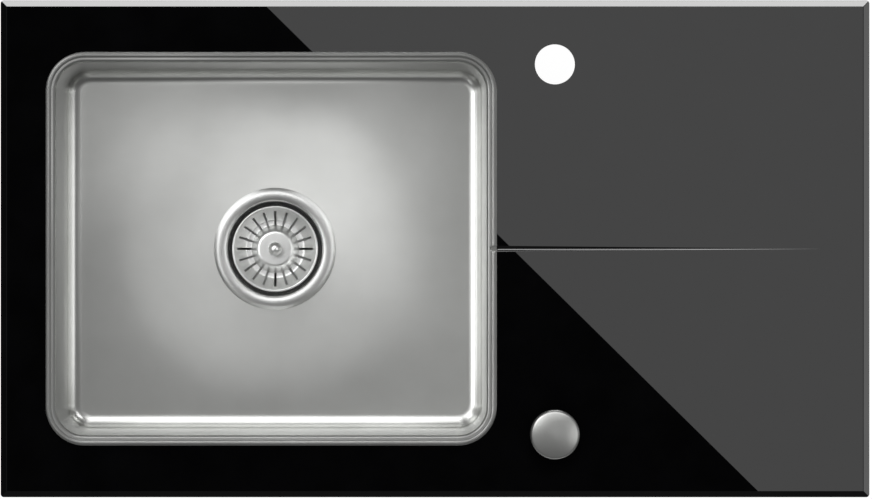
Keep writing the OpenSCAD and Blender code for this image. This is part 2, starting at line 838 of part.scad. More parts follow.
// A cable's end fitting: a sleeve with a nose that enters its holder and a bore for the wire
module ferrule(nose_l) {
  tip = ferrule_r - 1.2 - thread_fit;
  difference() {
    union() {
      translate([0, 0, -nose_l]) cylinder(r = tip, h = nose_l + eps);
      cylinder(r = ferrule_r, h = ferrule_l - 4);
      translate([0, 0, ferrule_l - 4]) cylinder(r1 = ferrule_r, r2 = cable_d / 2 + 0.4, h = 4);
    }
    translate([0, 0, -nose_l - eps]) cylinder(r = wire_bore, h = nose_l + ferrule_l - 1 + eps);
  }
}

module lever_ferrule() {
  color("#a9acad") at_waste() translate([stop_x + stop_t, crank_y, wire_z]) along_x() ferrule(stop_t);
}

module control_ferrule() {
  color("#a9acad") at_control() translate([wire_x, case_rear, rack_z]) along_y() ferrule(case_wall);
}

// Smooth curve through the route's points
function hermite(a, b, c, d, u) = 0.5 * ((2 * b) + (c - a) * u + (2 * a - 5 * b + 4 * c - d) * u * u
  + (3 * b - a - 3 * c + d) * u * u * u);
function pick(i) = route[max(0, min(len(route) - 1, i))];
function spot(u) = let (v = u * (len(route) - 1), i = min(floor(v), len(route) - 2))
  hermite(pick(i - 1), pick(i), pick(i + 1), pick(i + 2), v - i);
function unit(v) = v / norm(v);
function heading_at(k) = k == 0 ? [1, 0, 0] : k == cable_rings ? [0, -1, 0]
  : unit(spot((k + 0.5) / cable_rings) - spot((k - 0.5) / cable_rings));

module cable_sheath() {
  points = [for (k = [0:cable_rings]) let (
      p = spot(k / cable_rings), t = heading_at(k),
      u = unit(cross(t, [0.35, 0.35, 0.87])), v = cross(t, u)
    ) each [for (j = [0:cable_sides - 1]) let (a = 360 * j / cable_sides)
      p + cable_d / 2 * (u * cos(a) + v * sin(a))]];
  sides = [for (k = [0:cable_rings - 1], j = [0:cable_sides - 1]) let (
      a = k * cable_sides + j, b = k * cable_sides + (j + 1) % cable_sides
    ) each [[a, a + cable_sides, b], [b, a + cable_sides, b + cable_sides]]];
  caps = [for (j = [1:cable_sides - 2]) each [
      [0, j, j + 1],
      [cable_rings * cable_sides, cable_rings * cable_sides + j + 1, cable_rings * cable_sides + j]
    ]];
  color("#1b1c1e") polyhedron(points, concat(sides, caps));
}

module rack_wire() {
  color("#9a9c9d") at_control() translate([wire_x, rack_rear - 1, rack_z]) along_y()
    cylinder(r = wire_r, h = case_rear - rack_rear + ferrule_l - 3);
}

// Rack teeth face the pinion, with a space opposite its centre at rest
module rack() {
  slope = tan(pressure);
  half = PI / 4;
  color("#dcdcd8") at_control() translate([0, 0, rack_z - rack_h / 2]) difference() {
    linear_extrude(rack_h) union() {
      translate([-rack_back, rack_front]) square([rack_back - rack_root, rack_rear - rack_front]);
      for (k = [-2:4]) translate([-rack_line, PI * (k + 0.5)]) polygon([
        [-1.25 - eps, -half - 1.25 * slope], [-1.25, -half - 1.25 * slope], [1, -half + slope],
        [1, half - slope], [-1.25, half + 1.25 * slope], [-1.25 - eps, half + 1.25 * slope]
      ]);
    }
    translate([wire_x, rack_rear - 1 - glue, rack_h / 2]) along_y()
      cylinder(r = wire_r + thread_fit, h = 2);
  }
}

// Involute flank: the angle that it has turned through at radius r, in degrees
function involute(r) = let (a = acos(min(1, base_r / r))) tan(a) * 180 / PI - a;
tooth_half = 360 / teeth / 4 + (shift * tan(pressure) - backlash / 2) / pitch_r * 180 / PI;
function flank_angle(r) = tooth_half + involute(pitch_r) - involute(r);
flank = [for (k = [0:5]) let (r = base_r + (tip_r - base_r) * k / 5) [r, flank_angle(r)]];
function polar(r, a) = [r * cos(a), r * sin(a)];

module pinion() {
  color("#dcdcd8") at_control() translate([0, 0, rack_z - pinion_h / 2]) linear_extrude(pinion_h)
    difference() {
      polygon([for (k = [0:teeth - 1]) let (a = 180 + 360 / teeth * k) each concat(
        [polar(root_r, a - flank[0][1])], [for (f = flank) polar(f[0], a - f[1])],
        [for (f = backward(flank)) polar(f[0], a + f[1])], [polar(root_r, a + flank[0][1])]
      )]);
      circle(spindle_r + thread_fit);
    }
}

module control_spindle() {
  low = case_floor + play;
  color("#a9acad") at_control() {
    translate([0, 0, low]) cylinder(r = spindle_r, h = knob_z + knob_h - 4 - low);
    translate([0, 0, rack_z + pinion_h / 2 + play / 3]) cylinder(r = spindle_r + 1.5, h = 1);
  }
}

module control_knob() {
  edge_r = 3;
  crown_r = 90;
  half_a = asin((knob_r - edge_r) / (crown_r - edge_r));
  skin = 1.6;
  boss = spindle_r + 3;
  top = knob_z + knob_h;
  edge_z = top - crown_r + (crown_r - edge_r) * cos(half_a);
  color("#b4b6b5") at_control() difference() {
    rotate_extrude() polygon(concat(
      [[0, knob_z], [knob_r, knob_z]],
      [for (k = [0:6]) let (a = (90 - half_a) * k / 6)
        [knob_r - edge_r + edge_r * cos(a), edge_z + edge_r * sin(a)]],
      [for (k = [1:6]) let (a = half_a * (1 - k / 6))
        [crown_r * sin(a), top - crown_r * (1 - cos(a))]]
    ));
    translate([0, 0, knob_z - eps])
      ring(knob_r - skin, boss, knob_h - skin - crown_r * (1 - cos(half_a)) + eps);
    translate([0, 0, knob_z - eps]) cylinder(r = spindle_r + thread_fit, h = knob_h - 4 + glue + eps);
  }
}

module control_gasket() {
  color("#17181a") at_control() translate([0, 0, top_z]) ring(collar_r - 0.5, bushing_r + 0.2, gasket_h);
}

module control_bushing() {
  low = case_z;
  color("#b4b6b5") at_control() difference() {
    union() {
      translate([0, 0, collar_z]) cylinder(r = collar_r, h = collar_h);
      translate([0, 0, low]) cylinder(r = bushing_r, h = collar_z - low + collar_h / 2);
    }
    translate([0, 0, low - eps]) cylinder(r = spindle_r + fit, h = collar_z + collar_h - low + 2 * eps);
  }
}

module control_washer() {
  color("#17181a") at_control() translate([0, 0, glass_z - washer_t])
    ring(backnut_r - 0.5, bushing_r + 0.2, washer_t);
}

module control_backnut() {
  color("#d9d9d4") at_control() translate([0, 0, backnut_z]) difference() {
    cylinder(r = backnut_r, h = backnut_h, $fn = 8);
    translate([0, 0, -eps]) cylinder(r = bushing_r + thread_fit, h = backnut_h + 2 * eps);
  }
}

// Four ears outside the case take the cover's screws
module screw_places() {
  for (x = [case_left - screw_head_r, case_right + screw_head_r], y = [case_front + 6, case_rear - 6])
    translate([x, y, case_floor]) children();
}

module ears(from, to) {
  screw_places() translate([0, 0, from]) cylinder(r = screw_head_r + 1, h = to - from);
}

module control_housing() {
  color("#2a2b2d") at_control() difference() {
    union() {
      translate([case_left, case_front, case_floor])
        cube([case_right - case_left, case_rear - case_front, case_h]);
      ears(0, screw_l + 2);
    }
    translate([0, 0, case_floor - eps])
      cylinder(r = tip_r + 0.7, h = rack_z + pinion_h / 2 + 2 - case_floor + eps);
    translate([-rack_back - play, case_front + case_wall, case_floor - eps])
      cube([rack_back - rack_root + 2.6 + play, case_rear - case_front - 2 * case_wall,
        rack_z + rack_h / 2 + play - case_floor + eps]);
    cylinder_bore(spindle_r + fit, case_floor, case_z);
    translate([wire_x, case_rear - case_wall - eps, rack_z]) along_y()
      cylinder(r = ferrule_r - 1.2, h = case_wall + 2 * eps);
    screw_places() translate([0, 0, -eps]) cylinder(r = screw_r + thread_fit, h = screw_l + 1 + eps);
  }
}

module cylinder_bore(r, from, to) { translate([0, 0, from - eps]) cylinder(r = r, h = to - from + 2 * eps); }

module control_cover() {
  color("#2a2b2d") at_control() difference() {
    union() {
      translate([case_left, case_front, case_floor - cover_t])
        cube([case_right - case_left, case_rear - case_front, cover_t]);
      ears(-cover_t, 0);
      translate([-rack_back, case_front + case_wall + play, case_floor - eps]) cube([
        rack_back - rack_root, case_rear - case_front - 2 * (case_wall + play),
        rack_z - rack_h / 2 - play - case_floor + eps
      ]);
    }
    screw_places() translate([0, 0, -cover_t - eps]) cylinder(r = screw_r + thread_fit, h = cover_t + 2 * eps);
  }
}

module cover_screws() {
  head_h = 1.6;
  color("#a9acad") at_control() screw_places() {
    translate([0, 0, -cover_t - head_h]) cylinder(r = screw_head_r, h = head_h);
    translate([0, 0, -cover_t - head_h / 2]) cylinder(r = screw_r, h = cover_t + head_h / 2 + screw_l);
  }
}

rim_seal();
glass_top();
lip_sealant();
bowl();
side_pads();
base_pad();
support_frame();
frame_bond();
cross_rail();
rail_pad();
clamp_brackets();
clamp_studs();
clamp_wing_nuts();
clamp_arm(0);  // clamp_arm_1
clamp_arm(1);  // clamp_arm_2
clamp_arm(2);  // clamp_arm_3
clamp_arm(3);  // clamp_arm_4
clamp_arm(4);  // clamp_arm_5
clamp_arm(5);  // clamp_arm_6
strainer_cup();
flange_gasket();
waste_gasket();
waste_housing();
clamp_bolt();
bolt_nut();
lift_pin();
basket();
basket_seal();
basket_stem();
basket_ball_knob();
lever_shaft();
lift_lever();
shaft_seal();
crank_arm();
lever_wire();
lever_ferrule();
cable_sheath();
control_ferrule();
rack_wire();
rack();
pinion();
control_spindle();
control_knob();
control_gasket();
control_bushing();
control_washer();
control_backnut();
control_housing();
control_cover();
cover_screws();
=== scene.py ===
"""Looks of an inset kitchen sink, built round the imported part.

A pressed steel bowl is let into a bevelled black glass drainer. The pieces that the eye goes to
first, the glass, the bowl, the strainer and the two knobs, get fine meshes made from the sink's own
sections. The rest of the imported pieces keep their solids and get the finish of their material.
Sizes are in millimetres and angles in degrees, and every mesh is written in metres in the part's
own frame. The studio's places and sizes are in metres.
"""

from __future__ import annotations

import json
import logging
import math
from dataclasses import dataclass
from enum import Enum
from typing import Callable, Sequence

import bmesh
import bpy
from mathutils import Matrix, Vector

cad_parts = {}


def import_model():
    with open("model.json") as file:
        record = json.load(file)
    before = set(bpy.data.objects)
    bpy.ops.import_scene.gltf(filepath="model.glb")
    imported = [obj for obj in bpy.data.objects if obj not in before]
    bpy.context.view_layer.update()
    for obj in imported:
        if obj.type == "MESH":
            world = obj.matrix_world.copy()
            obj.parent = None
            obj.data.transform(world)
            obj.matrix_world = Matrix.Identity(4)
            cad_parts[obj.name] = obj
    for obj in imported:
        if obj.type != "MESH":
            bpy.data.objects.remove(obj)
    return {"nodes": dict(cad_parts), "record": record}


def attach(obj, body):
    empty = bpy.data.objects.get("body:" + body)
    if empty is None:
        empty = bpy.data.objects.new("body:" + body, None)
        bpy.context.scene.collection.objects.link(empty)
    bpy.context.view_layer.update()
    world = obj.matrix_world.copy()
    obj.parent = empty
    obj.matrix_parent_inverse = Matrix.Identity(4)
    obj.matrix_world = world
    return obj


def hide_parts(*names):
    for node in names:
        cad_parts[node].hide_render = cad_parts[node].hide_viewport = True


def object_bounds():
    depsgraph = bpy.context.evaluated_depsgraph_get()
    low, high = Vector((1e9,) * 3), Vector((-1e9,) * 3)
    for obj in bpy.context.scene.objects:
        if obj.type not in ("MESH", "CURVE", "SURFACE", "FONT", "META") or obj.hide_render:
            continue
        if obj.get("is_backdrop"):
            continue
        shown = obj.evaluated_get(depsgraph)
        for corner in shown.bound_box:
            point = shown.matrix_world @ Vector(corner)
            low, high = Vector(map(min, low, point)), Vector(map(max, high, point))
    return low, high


LOG = logging.getLogger("sink")
MM = 0.001

# Places nearer to each other than this are one place
TINY = 1e-6
# Where most values of a noise pattern lie
NOISE_LOW, NOISE_HIGH = 0.3, 0.7

Colour = tuple[float, float, float]
Flat = tuple[float, float]
Spot = tuple[float, float, float]
Grid = Sequence[Sequence[Spot]]
Material, Mesh, Piece = bpy.types.Material, bpy.types.Mesh, bpy.types.Object
Node, Socket = bpy.types.Node, bpy.types.NodeSocket


# Sections of pressed sheet


@dataclass(frozen=True)
class Run:
    """One run of a section: a bend of some radius and turn, or a straight run if radius is 0."""

    radius: float
    amount: float


@dataclass(frozen=True)
class SheetSection:
    """The section of a pressed sheet, followed from its outer edge toward the axis.

    A heading of 0 runs level toward the axis, and a positive turn is upward.
    """

    start: Flat
    heading: float
    runs: tuple[Run, ...]
    thickness: float
    bend_step: float = 5.0
    straight_step: float = 7.0

    def line(self) -> list[Spot]:
        """Follows the runs, for the middle line as (distance from the axis, height, heading)."""
        x, z, heading = *self.start, self.heading
        points = [(x, z, heading)]
        for run in self.runs:
            a = math.radians(heading)
            if run.radius == 0:
                count = max(1, math.ceil(run.amount / self.straight_step))
                for k in range(1, count + 1):
                    s = run.amount * k / count
                    points.append((x - s * math.cos(a), z + s * math.sin(a), heading))
            else:
                count = max(2, math.ceil(abs(run.amount) / self.bend_step))
                up = math.copysign(run.radius, run.amount)
                for k in range(1, count + 1):
                    b = math.radians(heading + run.amount * k / count)
                    across = up * (math.sin(a) - math.sin(b))
                    rise = up * (math.cos(a) - math.cos(b))
                    points.append((x + across, z + rise, math.degrees(b)))
                heading += run.amount
            x, z = points[-1][0], points[-1][1]
        return points

    def end(self) -> Flat:
        """Where the middle line ends."""
        last = self.line()[-1]
        return last[0], last[1]


def cut_at(line: Sequence[Spot], distance: float) -> list[Spot]:
    """Adds a point to a line where it crosses a distance from the axis.

    Args:
        line: Points of (distance, height, heading), running inward.
        distance: The distance from the axis at which a point is wanted.

    Returns:
        The line with that point in it.
    """
    out = [line[0]]
    for a, b in zip(line, line[1:]):
        if b[0] < distance - TINY and a[0] > distance + TINY:
            t = (a[0] - distance) / (a[0] - b[0])
            out.append(tuple(p + (q - p) * t for p, q in zip(a, b)))
        out.append(b)
    return out


def side_of(point: Spot, offset: float) -> Flat:
    """Moves a middle line's point square off the sheet.

    Args:
        point: A point of (distance, height, heading).
        offset: How far to move, toward the sheet's upper face.

    Returns:
        The moved point as (distance, height).
    """
    a = math.radians(point[2])
    return point[0] + offset * math.sin(a), point[1] + offset * math.cos(a)


# Meshes


def placed(name: str, data: bpy.types.ID) -> Piece:
    """Puts a new object with this mesh, lamp or camera in the scene."""
    piece = bpy.data.objects.new(name, data)
    bpy.context.scene.collection.objects.link(piece)
    return piece


def smooth_object(name: str, mesh: Mesh, sharp: float) -> Piece:
    """Makes a smooth-shaded object from a mesh.

    Args:
        name: The piece's name.
        mesh: Its mesh, in metres.
        sharp: Edges that turn by more degrees than this stay crisp.

    Returns:
        The object, linked to the scene.
    """
    mesh.name = name
    mesh.shade_smooth()
    mesh.set_sharp_from_angle(angle=math.radians(sharp))
    return placed(name, mesh)


def mesh_of(points: Sequence[Spot], faces: Sequence[Sequence[int]]) -> Mesh:
    """Makes a clean mesh with outward faces.

    Args:
        points: Corners in millimetres.
        faces: Lists of corner numbers.

    Returns:
        The mesh in metres.
    """
    mesh = bpy.data.meshes.new("piece")
    mesh.from_pydata([[c * MM for c in p] for p in points], [], faces)
    work = bmesh.new()
    work.from_mesh(mesh)
    bmesh.ops.remove_doubles(work, verts=work.verts, dist=TINY)
    bmesh.ops.recalc_face_normals(work, faces=work.faces)
    work.to_mesh(mesh)
    work.free()
    return mesh


def sheet_mesh(upper: Grid, lower: Grid, is_open: Callable[[int, int], bool]) -> Mesh:
    """Makes a closed sheet from two grids of points that go round an axis.

    Args:
        upper: Rows of points on the upper face, from the outer edge inward.
        lower: The points under them.
        is_open: Says for a row and column whether the cell after it is an opening.

    Returns:
        The mesh in metres.
    """
    rows, cols = len(upper), len(upper[0])
    points = [p for grid in (upper, lower) for row in grid for p in row]

    def at(grid: int, i: int, j: int) -> int:
        """The number of a grid's corner."""
        return (grid * rows + i) * cols + j % cols

    def solid(i: int, j: int) -> bool:
        """Whether a cell is sheet."""
        return 0 <= i < rows - 1 and not is_open(i, j % cols)

    faces: list[tuple[int, ...]] = []
    for i in range(rows):
        for j in range(cols):
            if solid(i, j):
                cell = ((i, j), (i, j + 1), (i + 1, j + 1), (i + 1, j))
                for grid in (0, 1):
                    faces.append(tuple(at(grid, *corner) for corner in cell))
            if solid(i, j) != solid(i - 1, j):
                faces.append((at(0, i, j), at(0, i, j + 1), at(1, i, j + 1), at(1, i, j)))
            if i < rows - 1 and solid(i, j) != solid(i, j - 1):
                faces.append((at(0, i, j), at(0, i + 1, j), at(1, i + 1, j), at(1, i, j)))
    return mesh_of(points, faces)


def lathe_mesh(profile: Sequence[Flat], centre: Flat, columns: int) -> Mesh:
    """Turns a closed profile round an upright axis.

    Args:
        profile: (radius, height) points of a closed outline.
        centre: Where the axis stands.
        columns: Steps round the axis.

    Returns:
        The mesh in metres.
    """
    points, faces, n = [], [], len(profile)
    for k in range(columns):
        a = 2 * math.pi * k / columns
        for r, z in profile:
            points.append((centre[0] + r * math.cos(a), centre[1] + r * math.sin(a), z))
    for k in range(columns):
        m = (k + 1) % columns
        for i in range(n):
            if profile[i][0] > TINY or profile[(i + 1) % n][0] > TINY:
                faces.append((k * n + i, k * n + (i + 1) % n, m * n + (i + 1) % n, m * n + i))
    return mesh_of(points, faces)


# Nodes


@dataclass
class Nodes:
    """Adds nodes to a material's or a world's tree and joins them up."""

    tree: bpy.types.NodeTree

    def node(self, kind: str, inputs: dict | None = None, **settings: object) -> Node:
        """Adds a node.

        Args:
            kind: Its type.
            inputs: A value or another node's output for each named or numbered input.
            settings: Options of the node itself.

        Returns:
            The node.
        """
        made = self.tree.nodes.new(kind)
        for name, value in settings.items():
            setattr(made, name, value)
        for name, value in (inputs or {}).items():
            if isinstance(value, Socket):
                self.tree.links.new(value, made.inputs[name])
            else:
                made.inputs[name].default_value = value
        return made

    def math(self, kind: str, a: object, b: object = 0.0) -> Socket:
        """One step of arithmetic on numbers or sockets."""
        return self.node("ShaderNodeMath", {0: a, 1: b}, operation=kind).outputs[0]

    def step(self, value: Socket, over: Flat) -> Socket:
        """Rises smoothly from 0 to 1 over a range of a value."""
        inputs = {"Value": value, "From Min": over[0], "From Max": over[1]}
        made = self.node("ShaderNodeMapRange", inputs, interpolation_type="SMOOTHSTEP")
        return made.outputs[0]

    def mix(self, share: Socket, a: object, b: object) -> Socket:
        """Goes from a to b as share goes from 0 to 1."""
        kept = self.math("MULTIPLY", self.math("SUBTRACT", 1.0, share), a)
        return self.math("ADD", kept, self.math("MULTIPLY", share, b))

    def pick(self, share: Socket, first: Node, second: Node) -> Node:
        """Shows the first shader where share is 0, and the second where it is 1."""
        inputs = {0: share, 1: first.outputs[0], 2: second.outputs[0]}
        return self.node("ShaderNodeMixShader", inputs)


# Finishes


def even(scale: float) -> Spot:
    """The same scale along each axis."""
    return (scale, scale, scale)


class Desk(Nodes):
    """Makes one material."""

    def __init__(self, name: str) -> None:
        """Starts the material of a finish, in the piece's own coordinates."""
        self.material = bpy.data.materials.new(name)
        self.material.use_nodes = True
        super().__init__(self.material.node_tree)
        self.shader = self.tree.nodes["Principled BSDF"]
        self.place = self.node("ShaderNodeTexCoord").outputs["Object"]

    def fixed(self, **values: float) -> None:
        """Sets the shader's own sockets. An underscore in a name stands for a space."""
        for name, value in values.items():
            self.shader.inputs[name.replace("_", " ")].default_value = value

    def noise(self, scale: Spot, detail: float = 3.0) -> Socket:
        """Soft noise with so many features to the metre along each axis."""
        place = self.node("ShaderNodeMapping", {"Vector": self.place, "Scale": scale}).outputs[0]
        inputs = {"Vector": place, "Scale": 1.0, "Detail": detail}
        return self.node("ShaderNodeTexNoise", inputs).outputs["Fac"]

    def cells(self, scale: float) -> Node:
        """Cell pattern with so many cells to the metre."""
        return self.node("ShaderNodeTexVoronoi", {"Vector": self.place, "Scale": scale})

    def between(self, value: Socket, low: float, high: float) -> Socket:
        """Spreads a pattern's middle part over a range of numbers."""
        middle = {"Value": value, "From Min": NOISE_LOW, "From Max": NOISE_HIGH}
        over = {"To Min": low, "To Max": high}
        return self.node("ShaderNodeMapRange", middle | over).outputs[0]

    def about(self, value: Socket, middle: float, spread: float) -> Socket:
        """Spreads a pattern's middle part evenly about a number."""
        return self.between(value, middle - spread, middle + spread)

    def tint(self, value: Socket, dark: Colour, light: Colour) -> Socket:
        """Spreads a pattern's middle part over two colours."""
        made = self.node("ShaderNodeValToRGB", {"Fac": value})
        ends = made.color_ramp.elements
        ends[0].position, ends[0].color = NOISE_LOW, (*dark, 1.0)
        ends[1].position, ends[1].color = NOISE_HIGH, (*light, 1.0)
        return made.outputs["Color"]

    def relief(self, height: Socket, depth: float, under: Socket | None = None) -> Socket:
        """Raises a pattern off the surface.

        Args:
            height: The pattern.
            depth: Its height in metres.
            under: A relief that this one is laid over.

        Returns:
            The bent normal.
        """
        inputs = {"Height": height, "Distance": depth, "Strength": 1.0}
        if under is not None:
            inputs["Normal"] = under
        return self.node("ShaderNodeBump", inputs).outputs["Normal"]

    def dress(self, colour: Socket, roughness: Socket, normal: Socket | None = None) -> Material:
        """Joins colour, roughness and any bent normal to the shader, for the whole material."""
        sources = {"Base Color": colour, "Roughness": roughness, "Normal": normal}
        for name, source in sources.items():
            if source is not None:
                self.tree.links.new(source, self.shader.inputs[name])
        return self.material


class Brushing(Enum):
    """Which way a steel was brushed, as features to the metre along X, Y and Z."""

    LENGTHWAYS = (30.0, 2200.0, 2200.0)
    NONE = (1500.0, 1500.0, 1500.0)


@dataclass(frozen=True)
class Steel:
    """Stainless steel with fine brushing and the soft unevenness of pressed sheet."""

    name: str
    dark: Colour
    light: Colour
    roughness: float
    brushing: Brushing
    spread: float = 0.02
    scratch: float = 0.0000002
    wave: float = 0.000012
    waves: float = 26.0
    clouds: float = 18.0

    def material(self) -> Material:
        """Builds the material."""
        desk = Desk(self.name)
        desk.fixed(Metallic=1.0)
        brushed = desk.noise(self.brushing.value, 4.0)
        cloud = desk.noise(even(self.clouds))
        wave = desk.noise(even(self.waves), 1.0)
        rough = desk.about(brushed, self.roughness, self.spread)
        normal = desk.relief(brushed, self.scratch, desk.relief(wave, self.wave))
        return desk.dress(desk.tint(cloud, self.dark, self.light), rough, normal)


@dataclass(frozen=True)
class ZincSteel:
    """Zinc plated sheet with faint crystals."""

    name: str = "zinc_steel"
    dark: Colour = (0.42, 0.425, 0.435)
    light: Colour = (0.47, 0.475, 0.485)
    roughness: Flat = (0.38, 0.43)
    crystals: float = 140.0
    grain: float = 900.0
    depth: float = 0.000015

    def material(self) -> Material:
        """Builds the material."""
        desk = Desk(self.name)
        desk.fixed(Metallic=1.0)
        crystals = desk.cells(self.crystals)
        shade = desk.node("ShaderNodeSeparateColor", {"Color": crystals.outputs["Color"]})
        grain = desk.noise(even(self.grain), 4.0)
        rough = desk.between(shade.outputs[0], *self.roughness)
        colour = desk.tint(shade.outputs[1], self.dark, self.light)
        return desk.dress(colour, rough, desk.relief(grain, self.depth))


@dataclass(frozen=True)
class BlackGlass:
    """Toughened glass, black behind, with the faintest smears on its polish."""

    name: str = "black_glass"
    dark: Colour = (0.0010, 0.0010, 0.0011)
    light: Colour = (0.0016, 0.0016, 0.0018)
    roughness: Flat = (0.001, 0.004)
    smears: Spot = (9.0, 14.0, 9.0)
    clouds: float = 30.0

    def material(self) -> Material:
        """Builds the material."""
        desk = Desk(self.name)
        desk.fixed(IOR=1.5)
        smear = desk.noise(self.smears, 5.0)
        colour = desk.tint(desk.noise(even(self.clouds)), self.dark, self.light)
        return desk.dress(colour, desk.between(smear, *self.roughness))


@dataclass(frozen=True)
class Rubber:
    """Moulded rubber, foam or bitumen: a dark body with a grain of its own."""

    name: str
    dark: Colour
    light: Colour
    roughness: float
    grain: float
    depth: float
    spread: float = 0.06
    bloom: float = 60.0
    fineness: float = 2.3
    fine_depth: float = 0.4

    def material(self) -> Material:
        """Builds the material."""
        desk = Desk(self.name)
        desk.fixed(Specular_IOR_Level=0.4)
        pores = desk.cells(self.grain).outputs["Distance"]
        bloom = desk.noise(even(self.bloom), 4.0)
        fine = desk.noise(even(self.grain * self.fineness))
        rough = desk.about(fine, self.roughness, self.spread)
        normal = desk.relief(fine, self.depth * self.fine_depth, desk.relief(pores, self.depth))
        return desk.dress(desk.tint(bloom, self.dark, self.light), rough, normal)


@dataclass(frozen=True)
class MouldedPlastic:
    """Injection moulded plastic with a fine eroded grain."""

    name: str
    dark: Colour
    light: Colour
    roughness: float
    spread: float = 0.05
    flow: Spot = (22.0, 22.0, 60.0)
    grain: float = 2400.0
    depth: float = 0.000012

    def material(self) -> Material:
        """Builds the material."""
        desk = Desk(self.name)
        desk.fixed(IOR=1.49)
        flow = desk.noise(self.flow, 2.0)
        grain = desk.noise(even(self.grain))
        rough = desk.about(grain, self.roughness, self.spread)
        colour = desk.tint(flow, self.dark, self.light)
        return desk.dress(colour, rough, desk.relief(grain, self.depth))


class Finishes:
    """The sink's materials, one for each material slot of the part."""

    def __init__(self) -> None:
        """Builds every material."""
        satin = ((0.585, 0.59, 0.575), (0.635, 0.64, 0.625))
        bright = ((0.74, 0.745, 0.735), (0.78, 0.785, 0.775))
        rubber = ((0.008, 0.008, 0.008), (0.016, 0.016, 0.016))
        foam = ((0.02, 0.02, 0.021), (0.036, 0.036, 0.038))
        bitumen = ((0.022, 0.022, 0.022), (0.045, 0.044, 0.043))
        white = ((0.70, 0.70, 0.665), (0.79, 0.79, 0.76))
        black = ((0.014, 0.014, 0.015), (0.026, 0.026, 0.027))
        cover = ((0.012, 0.012, 0.013), (0.022, 0.022, 0.024))
        finishes = (
            BlackGlass(),
            Steel("satin_steel", *satin, roughness=0.30, brushing=Brushing.LENGTHWAYS),
            Steel("bright_steel", *bright, roughness=0.36, brushing=Brushing.NONE),
            ZincSteel(),
            Rubber("black_rubber", *rubber, roughness=0.5, grain=1500.0, depth=0.00001),
            Rubber("seal_foam", *foam, roughness=0.85, grain=1100.0, depth=0.00012),
            Rubber("damping_pad", *bitumen, roughness=0.78, grain=420.0, depth=0.00016),
            MouldedPlastic("white_plastic", *white, roughness=0.42),
            MouldedPlastic("black_plastic", *black, roughness=0.45),
            MouldedPlastic("cable_cover", *cover, roughness=0.36),
        )
        self.by_slot: dict[str, Material] = {each.name: each.material() for each in finishes}

    def put(self, piece: Piece, slot: str) -> None:
        """Gives a piece the material of a slot.

        Args:
            piece: The piece, a packed one or a new one.
            slot: The part's material slot.
        """
        piece.data.materials.clear()
        piece.data.materials.append(self.by_slot[slot])


# Sub-assemblies


@dataclass
class GlassTop:
    """The bevelled black glass with its cut-outs and drain groove."""

    finishes: Finishes
    arris: float = 0.35
    arris_steps: int = 3
    flat_below: float = 0.4
    crisp_above: float = 8.0
    ground_above: float = 20.0

    def build(self, node: Piece) -> Piece:
        """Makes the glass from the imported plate, with the fine arris that grinding leaves."""
        work = bmesh.new()
        work.from_mesh(node.data)
        bmesh.ops.remove_doubles(work, verts=work.verts, dist=TINY)
        flat = math.radians(self.flat_below)
        bmesh.ops.dissolve_limit(work, angle_limit=flat, verts=work.verts, edges=work.edges)
        mesh = bpy.data.meshes.new("glass_plate")
        work.to_mesh(mesh)
        work.free()
        piece = smooth_object("glass_plate", mesh, self.crisp_above)
        edges = piece.modifiers.new("arris", "BEVEL")
        edges.width = self.arris * MM
        edges.segments = self.arris_steps
        edges.limit_method = "ANGLE"
        edges.angle_limit = math.radians(self.ground_above)
        edges.harden_normals = True
        self.finishes.put(piece, "black_glass")
        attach(piece, "sink")
        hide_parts("glass_top")
        return piece


